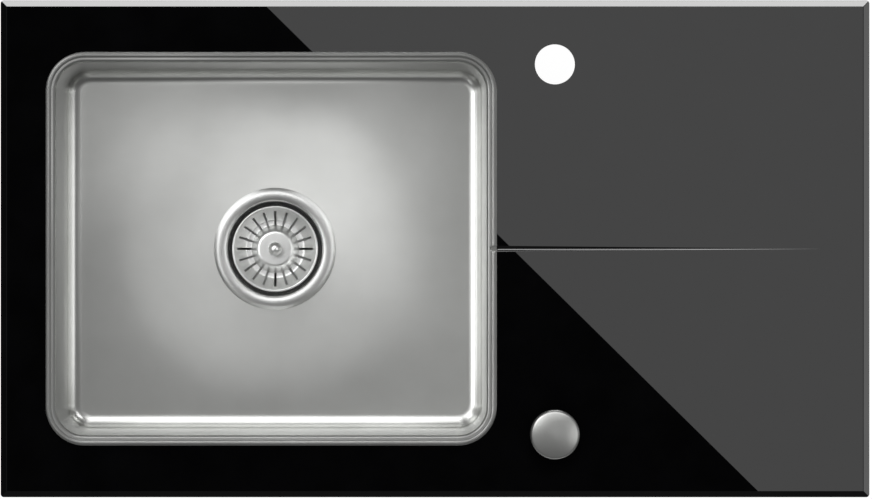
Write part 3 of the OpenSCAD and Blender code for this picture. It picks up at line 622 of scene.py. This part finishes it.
@dataclass
class Bowl:
    """The pressed bowl: raised rim, drafted walls, and a floor dished to the waste."""

    finishes: Finishes
    length: float = 404.8
    width: float = 353.0
    rim_r: float = 35.0
    top_z: float = 10.0
    rim_gap: float = 0.1
    depth: float = 160.0
    sheet_t: float = 0.9
    draft: float = 1.2
    fillet: float = 13.0
    bead_r: float = 2.6
    bead_a: float = 50.0
    crease_r: float = 1.0
    ledge_a: float = 5.0
    ledge_l: float = 1.2
    shoulder_r: float = 3.0
    centre_x: float = -147.0
    dish_d: float = 3.0
    dish_r: float = 145.0
    dish_flat_r: float = 57.0
    drain_r: float = 45.0
    spout_z: float = 8.9
    spout_l: float = 6.4
    spout_drop: float = 2.0
    # The mesh's lines: round a corner, along a side, down the floor, and on each half of the spout
    corner_lines: int = 14
    side_lines: int = 24
    floor_lines: int = 30
    spout_clear: float = 5.0
    spout_lines: tuple[float, ...] = (0.0, 0.35, 0.7, 1.0, 1.4, 1.8, 2.2, 2.6, 3.0, 3.6, 4.6)

    @property
    def floor_z(self) -> float:
        """Height of the floor's upper face."""
        return self.top_z - self.depth

    def section(self) -> SheetSection:
        """The wall's section from the rim's edge to the floor, measured from a corner's centre."""
        tilt, ledge, draft = (math.radians(a) for a in (self.bead_a, self.ledge_a, self.draft))
        rim_z = self.top_z + self.rim_gap + self.sheet_t / 2 * math.cos(tilt)
        mid = self.fillet + self.sheet_t / 2
        shoulder_drop = (
            self.crease_r * (math.cos(ledge) - math.cos(tilt))
            + self.ledge_l * math.sin(ledge)
            + self.shoulder_r * (math.cos(ledge) - math.cos(math.radians(90 - self.draft)))
        )
        fillet_drop = mid * (1 - math.sin(draft))
        fall = rim_z - shoulder_drop - fillet_drop - self.floor_z + self.sheet_t / 2
        runs = (
            Run(self.bead_r, -2 * self.bead_a),
            Run(self.crease_r, self.bead_a - self.ledge_a),
            Run(0, self.ledge_l),
            Run(self.shoulder_r, self.ledge_a + self.draft - 90),
            Run(0, fall / math.cos(draft)),
            Run(mid, 90 - self.draft),
        )
        start = (self.rim_r - self.sheet_t / 2 * math.sin(tilt), rim_z)
        return SheetSection(
            start, self.bead_a, runs, self.sheet_t, bend_step=3.5, straight_step=9.0
        )

    def stations(self) -> list[tuple[Flat, Flat]]:
        """Places round the rim.

        Returns:
            A corner's centre or a point between two of them, and the outward direction there.
        """
        half = (self.length / 2 - self.rim_r, self.width / 2 - self.rim_r)
        corners, sides = ((1, 1), (-1, 1), (-1, -1), (1, -1)), ((0, 1), (-1, 0), (0, -1), (1, 0))
        out: list[tuple[Flat, Flat]] = []
        for k, (corner, outward) in enumerate(zip(corners, sides)):
            centre = (corner[0] * half[0], corner[1] * half[1])
            for step in range(self.corner_lines):
                a = math.radians(90 * k) + math.radians(90 * step / self.corner_lines)
                out.append((centre, (math.cos(a), math.sin(a))))
            ahead = (-outward[1], outward[0])
            long = 2 * (half[0] if k % 2 == 0 else half[1])
            for s in self.marks(long, outward == (1, 0)):
                out.append(((centre[0] + ahead[0] * s, centre[1] + ahead[1] * s), outward))
        return out

    def marks(self, long: float, with_spout: bool) -> list[float]:
        """Distances along a straight side at which the mesh has a line.

        Args:
            long: The side's length.
            with_spout: Whether the spout is in the middle of this side.

        Returns:
            The distances, from 0 up to just before the end.
        """
        marks = [long * k / self.side_lines for k in range(self.side_lines)]
        if with_spout:
            middle = long / 2
            marks = [m for m in marks if abs(m - middle) > self.spout_clear]
            marks += [middle + s for s in self.spout_lines]
            marks += [middle - s for s in self.spout_lines if s]
        return sorted(marks)

    def dish(self, r: float) -> float:
        """Height of the dished floor at a distance from the waste, from the flat floor."""
        u = min(1.0, max(0.0, (r - self.dish_flat_r) / (self.dish_r - self.dish_flat_r)))
        return self.dish_d * (u * u * (3 - 2 * u) - 1)

    def row(self, point: Spot, offset: float) -> list[Spot]:
        """One line of the wall round the bowl.

        Args:
            point: A point of the section's middle line.
            offset: The face's distance from the middle line.

        Returns:
            Its points, one for each station.
        """
        x, z = side_of(point, offset)
        spout_x, under = self.length / 2 - self.spout_l, 0.0 if offset > 0 else self.sheet_t
        out = []
        for base, direction in self.stations():
            px, py = base[0] + x * direction[0], base[1] + x * direction[1]
            height = z
            if direction == (1, 0) and px > spout_x and z > self.top_z - self.spout_drop:
                height = min(z, self.spout_z + abs(py) - under)
            out.append((px + self.centre_x, py, height))
        return out

    def floor_row(self, edge: Sequence[Spot], share: float, drop: float) -> list[Spot]:
        """One ring of the floor.

        Args:
            edge: The floor's outer line.
            share: 0 at that line, 1 at the waste.
            drop: Depth of this face below the floor's upper face.

        Returns:
            Its points.
        """
        out = []
        for x, y, _ in edge:
            reach = math.hypot(x - self.centre_x, y)
            r = reach + (self.drain_r - reach) * share
            scale = r / reach
            z = self.floor_z + self.dish(r) - drop
            out.append((self.centre_x + (x - self.centre_x) * scale, y * scale, z))
        return out

    def build(self) -> Piece:
        """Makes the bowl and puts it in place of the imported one."""
        line = self.section().line()
        upper = [self.row(p, self.sheet_t / 2) for p in line]
        lower = [self.row(p, -self.sheet_t / 2) for p in line]
        edge = upper[-1]
        for k in range(1, self.floor_lines + 1):
            upper.append(self.floor_row(edge, k / self.floor_lines, 0))
            lower.append(self.floor_row(edge, k / self.floor_lines, self.sheet_t))
        piece = smooth_object("steel_bowl", sheet_mesh(upper, lower, lambda i, j: False), 50.0)
        self.finishes.put(piece, "satin_steel")
        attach(piece, "sink")
        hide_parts("bowl")
        return piece


@dataclass
class Slotted:
    """A turned sheet with radial slots, such as the strainer's cup or basket."""

    section: SheetSection
    axis: Flat
    base_z: float
    slots: int
    slot_w: float
    slot_in: float
    slot_out: float
    first_slot: float
    between: int

    def angles(self, r: float) -> list[float]:
        """Directions of the mesh's lines at a radius, which follow the slots' parallel sides.

        Args:
            r: The radius.

        Returns:
            Angles in radians, the first pair bounding the first slot.
        """
        half = math.asin(self.slot_w / 2 / max(r, self.slot_in))
        pitch = 2 * math.pi / self.slots
        gap = pitch - 2 * half
        out = []
        for k in range(self.slots):
            middle = math.radians(self.first_slot) + k * pitch
            out += [middle - half, middle + half]
            out += [middle + half + gap * m / self.between for m in range(1, self.between)]
        return out

    def ring(self, point: Spot, offset: float) -> list[Spot]:
        """One line round the axis, offset from a point of the section's middle line."""
        r, z = side_of(point, offset)
        x, y = self.axis
        return [
            (x + r * math.cos(a), y + r * math.sin(a), self.base_z + z)
            for a in self.angles(point[0])
        ]

    def mesh(self) -> Mesh:
        """Makes the sheet with its slots."""
        line = cut_at(cut_at(self.section.line(), self.slot_out), self.slot_in)
        half = self.section.thickness / 2

        def is_open(i: int, j: int) -> bool:
            """Whether a cell lies in a slot."""
            middle = (line[i][0] + line[i + 1][0]) / 2
            return j % (self.between + 1) == 0 and self.slot_in < middle < self.slot_out

        upper, lower = ([self.ring(p, offset) for p in line] for offset in (half, -half))
        return sheet_mesh(upper, lower, is_open)


@dataclass
class Strainer:
    """The waste's flange and cup, its basket, and the basket's ball knob."""

    finishes: Finishes
    bowl: Bowl
    flange_r: float = 56.0
    flange_rise: float = 0.7
    edge_a: float = 38.0
    fall_a: float = 20.0
    arch_r: float = 10.6
    lip_r: float = 2.2
    neck: float = 6.0
    seat_a: float = 50.0
    seat_r: float = 1.5
    seat_l: float = 3.2
    cup_wall: float = 18.0
    cup_foot_r: float = 4.0
    cup_hole_r: float = 6.0
    cup_slots: int = 12
    cup_slot_w: float = 4.0
    cup_slot_gaps: Flat = (6.0, 3.0)
    basket_r: float = 39.5
    basket_t: float = 0.7
    basket_z: float = -6.2
    basket_rim_a: float = 50.0
    basket_rim_r: float = 1.1
    basket_a: float = 60.0
    basket_wall: float = 18.5
    basket_foot_r: float = 3.0
    basket_foot: float = 3.0
    dome_a: float = 62.0
    dome_foot_r: float = 1.5
    dome_side: float = 8.0
    dome_r: float = 4.0
    basket_slots: int = 20
    basket_slot_w: float = 2.0
    basket_slot: Flat = (21.8, 35.0)
    ball_r: float = 6.3
    ball_rise: float = 10.0
    ball_lines: int = 30
    bore_r: float = 2.95
    bore_clear: float = 0.05

    @property
    def axis(self) -> Flat:
        """Where the waste stands."""
        return self.bowl.centre_x, 0.0

    def cup_section(self) -> SheetSection:
        """The section of the flange and cup, in heights from the bowl's floor."""
        t = self.bowl.sheet_t
        edge_in = t / 2 * math.sin(math.radians(self.edge_a))
        start = (self.flange_r - edge_in, self.flange_rise - self.bowl.dish_d)
        runs = (
            Run(self.arch_r, -self.edge_a - self.fall_a),
            Run(self.lip_r, self.fall_a - 90),
            Run(0, self.neck),
            Run(self.seat_r, 90 - self.seat_a),
            Run(0, self.seat_l),
            Run(self.seat_r, self.seat_a - 90),
            Run(0, self.cup_wall),
            Run(self.cup_foot_r, 90),
        )
        foot = SheetSection(start, self.edge_a, runs, t).end()[0]
        floor = Run(0, foot - self.cup_hole_r)
        return SheetSection(start, self.edge_a, (*runs, floor), t)

    def basket_section(self) -> SheetSection:
        """The section of the basket, in heights from the bowl's floor."""
        t = self.basket_t
        edge_in = t / 2 * math.sin(math.radians(self.basket_rim_a))
        start = (self.basket_r - edge_in, self.basket_z - self.bowl.dish_d)
        runs = (
            Run(self.basket_rim_r, -self.basket_rim_a - self.basket_a),
            Run(0, self.basket_wall),
            Run(self.basket_foot_r, self.basket_a),
            Run(0, self.basket_foot),
            Run(self.dome_foot_r, self.dome_a),
            Run(0, self.dome_side),
            Run(self.dome_r, -self.dome_a),
        )
        dome = SheetSection(start, self.basket_rim_a, runs, t).end()[0]
        plateau = Run(0, dome - self.bore_r)
        return SheetSection(start, self.basket_rim_a, (*runs, plateau), t, straight_step=3.0)

    def build_cup(self) -> Piece:
        """Makes the flange and cup."""
        section = self.cup_section()
        floor = section.runs[-1].amount
        cup = Slotted(
            section,
            self.axis,
            self.bowl.floor_z,
            slots=self.cup_slots,
            slot_w=self.cup_slot_w,
            slot_in=self.cup_hole_r + self.cup_slot_gaps[0],
            slot_out=self.cup_hole_r + floor - self.cup_slot_gaps[1],
            first_slot=0.0,
            between=9,
        )
        piece = smooth_object("strainer_flange", cup.mesh(), 40.0)
        self.finishes.put(piece, "bright_steel")
        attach(piece, "sink")
        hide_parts("strainer_cup")
        return piece

    def build_basket(self) -> Piece:
        """Makes the basket with its slots."""
        basket = Slotted(
            self.basket_section(),
            self.axis,
            self.bowl.floor_z,
            slots=self.basket_slots,
            slot_w=self.basket_slot_w,
            slot_in=self.basket_slot[0],
            slot_out=self.basket_slot[1],
            first_slot=90.0,
            between=5,
        )
        piece = smooth_object("strainer_basket", basket.mesh(), 40.0)
        self.finishes.put(piece, "bright_steel")
        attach(piece, "basket")
        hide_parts("basket")
        return piece

    def build_ball(self) -> Piece:
        """Makes the ball knob, bored from below for its stem."""
        centre_z = self.bowl.floor_z + self.basket_section().end()[1] + self.ball_rise
        neck = math.asin(self.bore_r / self.ball_r)
        angles = (math.pi * k / self.ball_lines for k in range(self.ball_lines + 1))
        profile = [
            (self.ball_r * math.sin(a), centre_z + self.ball_r * math.cos(a))
            for a in angles
            if a < math.pi - neck
        ]
        profile += [
            (self.bore_r, centre_z - self.ball_r * math.cos(neck)),
            (self.bore_r, centre_z + self.bore_clear),
            (0.0, centre_z + self.bore_clear),
        ]
        piece = smooth_object("ball_knob", lathe_mesh(profile, self.axis, 64), 40.0)
        self.finishes.put(piece, "bright_steel")
        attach(piece, "basket")
        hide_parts("basket_ball_knob")
        return piece


@dataclass
class ControlKnob:
    """The domed steel knob that opens the waste."""

    finishes: Finishes
    centre: Flat = (107.6, -166.6)
    radius: float = 22.25
    base_z: float = 12.7
    height: float = 11.5
    foot_break: float = 0.3
    edge_r: float = 3.0
    edge_lines: int = 12
    crown_r: float = 90.0
    crown_lines: int = 14
    skin: float = 1.6
    bore_r: float = 4.05
    bore_roof: float = 3.9
    boss_r: float = 7.0

    def profile(self) -> list[Flat]:
        """The knob's closed outline, hollow from below with a boss for the spindle."""
        half = math.asin((self.radius - self.edge_r) / (self.crown_r - self.edge_r))
        top = self.base_z + self.height
        edge_x = self.radius - self.edge_r
        edge_z = top - self.crown_r + (self.crown_r - self.edge_r) * math.cos(half)
        foot = self.foot_break
        points = [(self.radius - foot, self.base_z), (self.radius, self.base_z + foot)]
        for k in range(self.edge_lines + 1):
            a = (math.pi / 2 - half) * k / self.edge_lines
            points.append((edge_x + self.edge_r * math.cos(a), edge_z + self.edge_r * math.sin(a)))
        for k in range(1, self.crown_lines + 1):
            a = half * (1 - k / self.crown_lines)
            points.append((self.crown_r * math.sin(a), top - self.crown_r * (1 - math.cos(a))))
        roof = top - self.skin - self.crown_r * (1 - math.cos(half))
        points += [
            (0.0, top - self.bore_roof),
            (self.bore_r, top - self.bore_roof),
            (self.bore_r, self.base_z),
            (self.boss_r, self.base_z),
            (self.boss_r, roof),
            (self.radius - self.skin, roof),
            (self.radius - self.skin, self.base_z),
        ]
        return points

    def build(self) -> Piece:
        """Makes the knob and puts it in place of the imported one."""
        piece = smooth_object("control_cap", lathe_mesh(self.profile(), self.centre, 128), 40.0)
        self.finishes.put(piece, "satin_steel")
        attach(piece, "knob")
        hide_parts("control_knob")
        return piece


@dataclass
class Fittings:
    """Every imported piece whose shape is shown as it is."""

    finishes: Finishes
    slots: dict[str, str]

    def dress(self, nodes: dict[str, Piece]) -> None:
        """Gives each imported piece, found by its name, the finish of its material slot."""
        for name, node in sorted(nodes.items()):
            self.finishes.put(node, self.slots[name])
            LOG.info("dressed %s in %s", name, self.slots[name])


# Studio


@dataclass(frozen=True)
class Softbox:
    """A softbox aimed at a point of the sink.

    It hangs off that point by its distance in metres, so many degrees from straight above and so
    many round from the right. Its sides are its breadth and its height, in metres. A grid keeps
    its light within so many degrees.
    """

    name: str
    aim: Spot
    round_from_right: float
    tilt: float
    distance: float
    sides: Flat
    glow: float
    grid: float = 180.0

    @property
    def toward(self) -> Vector:
        """The direction from the point that it is aimed at to the softbox."""
        tilt, turn = math.radians(self.tilt), math.radians(self.round_from_right)
        return Vector(
            (math.sin(tilt) * math.cos(turn), math.sin(tilt) * math.sin(turn), math.cos(tilt))
        )

    def power(self) -> float:
        """Power in watts that gives the glow along its axis, whatever its grid."""
        half = math.radians(self.grid / 2)
        gain = 1.0 if self.grid >= 180 else math.tan(half) / (math.tan(half) - half)
        return self.glow / gain * math.pi * self.sides[0] * self.sides[1]


MIDDLE, GROOVE, WASTE = (0.0, 0.0, 0.0), (0.28, 0.0, 0.0), (-0.147, 0.0, -0.150)
KNOB = (0.1076, -0.1666, 0.02)
# The fillets at the bowl's floor: one for each side, and three of the corners
RIGHT, NEAR = (0.040, 0.0, -0.146), (-0.147, -0.158, -0.146)
LEFT, BACK = (-0.334, 0.0, -0.146), (-0.147, 0.158, -0.146)
NEAR_LEFT, NEAR_RIGHT = (-0.322, -0.149, -0.146), (0.028, -0.149, -0.146)
BACK_RIGHT = (0.028, 0.149, -0.146)

# The lamps of each group of pieces. Those inside the bowl keep clear of its wall.
LAMPS: dict[str, tuple[Softbox, ...]] = {
    "all": (Softbox("key", MIDDLE, 140, 42, 3.2, (1.6, 1.6), 0.9),),
    "glass": (
        Softbox("bevel_back", MIDDLE, 90, 73.65, 3.13, (1.7, 0.5), 13.5),
        Softbox("bevel_right", MIDDLE, 0, 78.6, 3.13, (1.2, 0.5), 2.1),
        Softbox("groove_back", GROOVE, 90, 51, 2.57, (1.2, 0.6), 9.8),
    ),
    "bowl": (
        Softbox("right_deep", RIGHT, 180, 76, 0.30, (0.28, 0.08), 2.8, 40),
        Softbox("right_low", RIGHT, 180, 64, 0.36, (0.32, 0.09), 1.6, 26),
        Softbox("right_mid", RIGHT, 180, 47, 0.6, (0.8, 0.15), 9.1, 26),
        Softbox("right_high", RIGHT, 180, 33, 0.6, (0.8, 0.15), 3.4, 26),
        Softbox("right_top", RIGHT, 180, 20, 0.6, (0.8, 0.12), 0.65, 26),
        Softbox("near_deep", NEAR, 90, 76, 0.30, (0.32, 0.08), 2.7, 40),
        Softbox("near_low", NEAR, 90, 62, 0.33, (0.38, 0.09), 3.4, 26),
        Softbox("near_mid", NEAR, 90, 47, 0.6, (0.9, 0.15), 7.2, 26),
        Softbox("near_high", NEAR, 90, 33, 0.6, (0.9, 0.15), 3.9, 26),
        Softbox("near_top", NEAR, 90, 20, 0.6, (0.9, 0.12), 0.8, 26),
        Softbox("corner_left", NEAR_LEFT, 45, 64, 0.36, (0.14, 0.09), 8.0, 26),
        Softbox("corner_deep", NEAR_RIGHT, 135, 78, 0.26, (0.24, 0.08), 2.2, 40),
        Softbox("corner_right", NEAR_RIGHT, 135, 64, 0.36, (0.24, 0.09), 5.0, 26),
        Softbox("corner_mid", NEAR_RIGHT, 135, 47, 0.45, (0.30, 0.13), 5.0, 26),
        Softbox("corner_high", NEAR_RIGHT, 135, 33, 0.5, (0.30, 0.13), 2.0, 26),
        Softbox("corner_back", BACK_RIGHT, 225, 64, 0.36, (0.1, 0.09), 2.0, 26),
        Softbox("left_deep", LEFT, 0, 80, 0.30, (0.28, 0.10), 1.3, 40),
        Softbox("left_mid", LEFT, 0, 66, 0.38, (0.28, 0.09), 3.1, 26),
        Softbox("back_low", BACK, 270, 66, 0.33, (0.38, 0.09), 0.78, 26),
        Softbox("floor_left", (-0.215, 0.0, -0.150), 180, 4, 0.4, (0.24, 0.14), 0.23, 60),
        Softbox("floor_back", (-0.255, 0.1, -0.150), 180, 4, 0.4, (0.12, 0.12), 0.7, 60),
        Softbox("pool", (-0.125, 0.045, -0.150), 0, 0, 0.30, (0.12, 0.12), 1.45, 70),
        Softbox("pool_wide", (-0.125, 0.035, -0.150), 0, 0, 0.30, (0.26, 0.22), 0.4, 70),
        Softbox("pool_right", (-0.055, 0.045, -0.150), 0, 0, 0.30, (0.10, 0.14), 0.84, 70),
        Softbox("pool_near", (-0.115, -0.030, -0.150), 0, 0, 0.30, (0.16, 0.08), 0.5, 70),
    ),
    "strainer": (
        Softbox("strainer_over", WASTE, 90, 24, 3.0, (1.4, 0.8), 2.5),
        Softbox("strainer_key", WASTE, 135, 30, 3.0, (1.4, 1.0), 0.48),
        Softbox("strainer_back", WASTE, 90, 50, 3.0, (2.4, 1.8), 0.88),
        Softbox("strainer_left", WASTE, 180, 45, 3.0, (2.4, 1.8), 1.7),
        Softbox("strainer_right", WASTE, 0, 45, 3.0, (2.4, 1.8), 1.3),
        Softbox("strainer_a", WASTE, 135, 68, 0.16, (0.16, 0.08), 1.4),
        Softbox("strainer_d", WASTE, 45, 68, 0.16, (0.16, 0.08), 0.99),
    ),
    "basket": (
        Softbox("basket_key", WASTE, 135, 38, 3.0, (1.0, 1.0), 4.0),
        Softbox("basket_over", WASTE, 135, 16, 3.0, (1.0, 0.5), 4.0),
        Softbox("basket_back", WASTE, 90, 34, 3.0, (2.0, 1.0), 2.6),
        Softbox("basket_left", WASTE, 180, 36, 3.0, (2.0, 1.0), 3.0),
        Softbox("basket_right", WASTE, 0, 36, 3.0, (2.0, 1.0), 2.3),
    ),
    "knob": (
        Softbox("knob_back", KNOB, 90, 35, 2.0, (1.2, 0.8), 1.5),
        Softbox("knob_left", KNOB, 140, 35, 2.0, (0.8, 0.8), 2.1),
        Softbox("knob_right", KNOB, 0, 30, 2.0, (0.8, 0.8), 0.8),
    ),
}


@dataclass(frozen=True)
class Studio:
    """Pale floor, soft light and the camera over the sink."""

    camera_height: float = 7.0
    view_width: float = 0.7824
    sensor: float = 36.0
    aim: Flat = (0.0009, -0.0006)
    glass_z: float = 0.010
    floor_half: float = 30.0
    floor_gap: float = 0.0002
    floor_grey: float = 0.8
    seen_grey: float = 0.24
    seen_glow: float = 0.88
    ambient: float = 0.8

    def floor(self, lowest: float) -> None:
        """Lays the pale floor, which the camera sees evenly lit, under the sink's lowest point."""
        mesh = bpy.data.meshes.new("floor")
        s, z = self.floor_half, lowest - self.floor_gap
        mesh.from_pydata([(-s, -s, z), (s, -s, z), (s, s, z), (-s, s, z)], [], [(0, 1, 2, 3)])
        floor = placed("floor", mesh)
        material = bpy.data.materials.new("pale_floor")
        material.use_nodes = True
        material.node_tree.nodes.clear()
        desk = Nodes(material.node_tree)
        path = desk.node("ShaderNodeLightPath").outputs
        seen = desk.math("MAXIMUM", path["Is Camera Ray"], path["Is Transmission Ray"])
        plain = desk.node("ShaderNodeBsdfDiffuse", {"Color": (*even(self.floor_grey), 1)})
        shown = desk.node("ShaderNodeBsdfDiffuse", {"Color": (*even(self.seen_grey), 1)})
        glow = desk.node("ShaderNodeEmission", {"Strength": self.seen_glow})
        both = desk.node("ShaderNodeAddShader", {0: shown.outputs[0], 1: glow.outputs[0]})
        upper = desk.pick(seen, plain, both)
        back = desk.node("ShaderNodeNewGeometry").outputs["Backfacing"]
        faces = desk.pick(back, upper, desk.node("ShaderNodeBsdfTransparent"))
        desk.node("ShaderNodeOutputMaterial", {"Surface": faces.outputs[0]})
        floor.data.materials.append(material)
        floor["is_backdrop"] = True

    def camera(self) -> None:
        """Hangs a long-lens camera straight over the sink."""
        data = bpy.data.cameras.new("camera")
        data.sensor_width = self.sensor
        data.lens = self.sensor * self.camera_height / self.view_width
        data.clip_start, data.clip_end = 0.1, 100.0
        camera = placed("camera", data)
        camera.location = (*self.aim, self.glass_z + self.camera_height)
        bpy.context.scene.camera = camera

    def hang(self, lamps: Sequence[Softbox], only: Sequence[Piece]) -> None:
        """Hangs softboxes.

        Args:
            lamps: The softboxes.
            only: The pieces that they light, or none if they light everything.
        """
        group = bpy.data.collections.new(f"lit_by_{lamps[0].name}")
        for piece in only:
            group.objects.link(piece)
        for lamp in lamps:
            data = bpy.data.lights.new(lamp.name, "AREA")
            data.shape = "RECTANGLE"
            data.size, data.size_y = lamp.sides
            data.spread = math.radians(lamp.grid)
            data.energy = lamp.power()
            made = placed(lamp.name, data)
            made.location = Vector(lamp.aim) + lamp.toward * lamp.distance
            made.rotation_mode = "QUATERNION"
            made.rotation_quaternion = (-lamp.toward).to_track_quat("-Z", "Y")
            made.visible_camera = False
            if only:
                made.light_linking.receiver_collection = group

    def world(self) -> None:
        """Builds the surroundings: white to the eye, and a dim room in reflections."""
        world = bpy.data.worlds.new("studio")
        bpy.context.scene.world = world
        world.use_nodes = True
        world.node_tree.nodes.clear()
        desk = Nodes(world.node_tree)
        path = desk.node("ShaderNodeLightPath").outputs
        room = desk.node("ShaderNodeBackground", {"Color": Room().brightness(desk)})
        white = desk.node("ShaderNodeBackground", {"Color": (*even(1.0), 1)})
        ambient = desk.node("ShaderNodeBackground", {"Color": (*even(self.ambient), 1)})
        unseen = desk.pick(path["Is Glossy Ray"], ambient, room)
        seen = desk.pick(path["Is Camera Ray"], unseen, white)
        desk.node("ShaderNodeOutputWorld", {"Surface": seen.outputs[0]})

    def light(self, lit: dict[str, Sequence[Piece]]) -> None:
        """Hangs the lamps: one key light, and softboxes for single groups of pieces.

        Args:
            lit: The pieces of each of the lamps' groups. A group without any lights everything.
        """
        for group, lamps in LAMPS.items():
            self.hang(lamps, lit.get(group, ()))


@dataclass(frozen=True)
class Room:
    """The room that metal and glass reflect, by direction.

    Straight above, where the polished glass looks, hangs a card that ends along a slanting edge.
    Past card_fade degrees from there the room is an even grey. It turns darker to the front, and
    darkest low at the left, over ranges of a direction's part along -Y and -X.
    """

    card_edge: Flat = (0.7021, 0.7122)
    card_from: float = 0.00693
    card_glow: float = 1.45
    card_fade: Flat = (3.8, 6.5)
    grey: float = 0.205
    front: float = 0.1
    front_over: Flat = (0.10, 0.45)
    low_left: float = 0.04
    left_over: Flat = (0.75, 0.95)
    horizon: float = 0.01

    def brightness(self, desk: Nodes) -> Socket:
        """Works out the room's brightness, with nodes in the desk's tree."""
        way = desk.node("ShaderNodeTexCoord").outputs["Generated"]
        x, y, z = desk.node("ShaderNodeSeparateXYZ", {0: way}).outputs
        high = desk.math("MAXIMUM", z, self.horizon)
        aslant = desk.math(
            "ADD",
            desk.math("MULTIPLY", desk.math("DIVIDE", x, high), self.card_edge[0]),
            desk.math("MULTIPLY", desk.math("DIVIDE", y, high), self.card_edge[1]),
        )
        past_edge = desk.math("GREATER_THAN", aslant, self.card_from)
        card = desk.math("MULTIPLY", past_edge, self.card_glow)
        to_front = desk.step(desk.math("MULTIPLY", y, -1.0), self.front_over)
        to_left = desk.step(desk.math("MULTIPLY", x, -1.0), self.left_over)
        around = desk.mix(to_front, self.grey, self.front)
        around = desk.mix(to_left, around, self.low_left)
        tilt = desk.math("MULTIPLY", desk.math("ARCCOSINE", z), 180 / math.pi)
        return desk.mix(desk.step(tilt, self.card_fade), card, around)


def main() -> None:
    """Loads the part, builds each sub-assembly in order, and lights the scene."""
    logging.basicConfig(level=logging.INFO, format="%(message)s")
    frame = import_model()
    packed_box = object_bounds()
    bpy.context.scene.view_settings.view_transform = "Standard"

    finishes = Finishes()
    slots = {row["node"]: row["material_slot"] for row in frame["record"]["subparts"]}
    Fittings(finishes, slots).dress(frame["nodes"])

    bowl = Bowl(finishes)
    strainer = Strainer(finishes, bowl)
    glass = GlassTop(finishes).build(frame["nodes"]["glass_top"])
    pressed = bowl.build()
    cup, basket, ball = strainer.build_cup(), strainer.build_basket(), strainer.build_ball()
    cap = ControlKnob(finishes).build()
    for piece in (glass, pressed, cup, basket, ball, cap):
        LOG.info("built %s with %d faces", piece.name, len(piece.data.polygons))

    studio = Studio()
    studio.floor(packed_box[0].z)
    studio.world()
    stem, seal, pin = (frame["nodes"][n] for n in ("basket_stem", "basket_seal", "lift_pin"))
    studio.light(
        {
            "glass": [glass],
            "bowl": [pressed],
            "strainer": [cup, seal, pin],
            "basket": [basket, ball, stem],
            "knob": [cap],
        }
    )
    studio.camera()


if __name__ == "__main__":
    main()
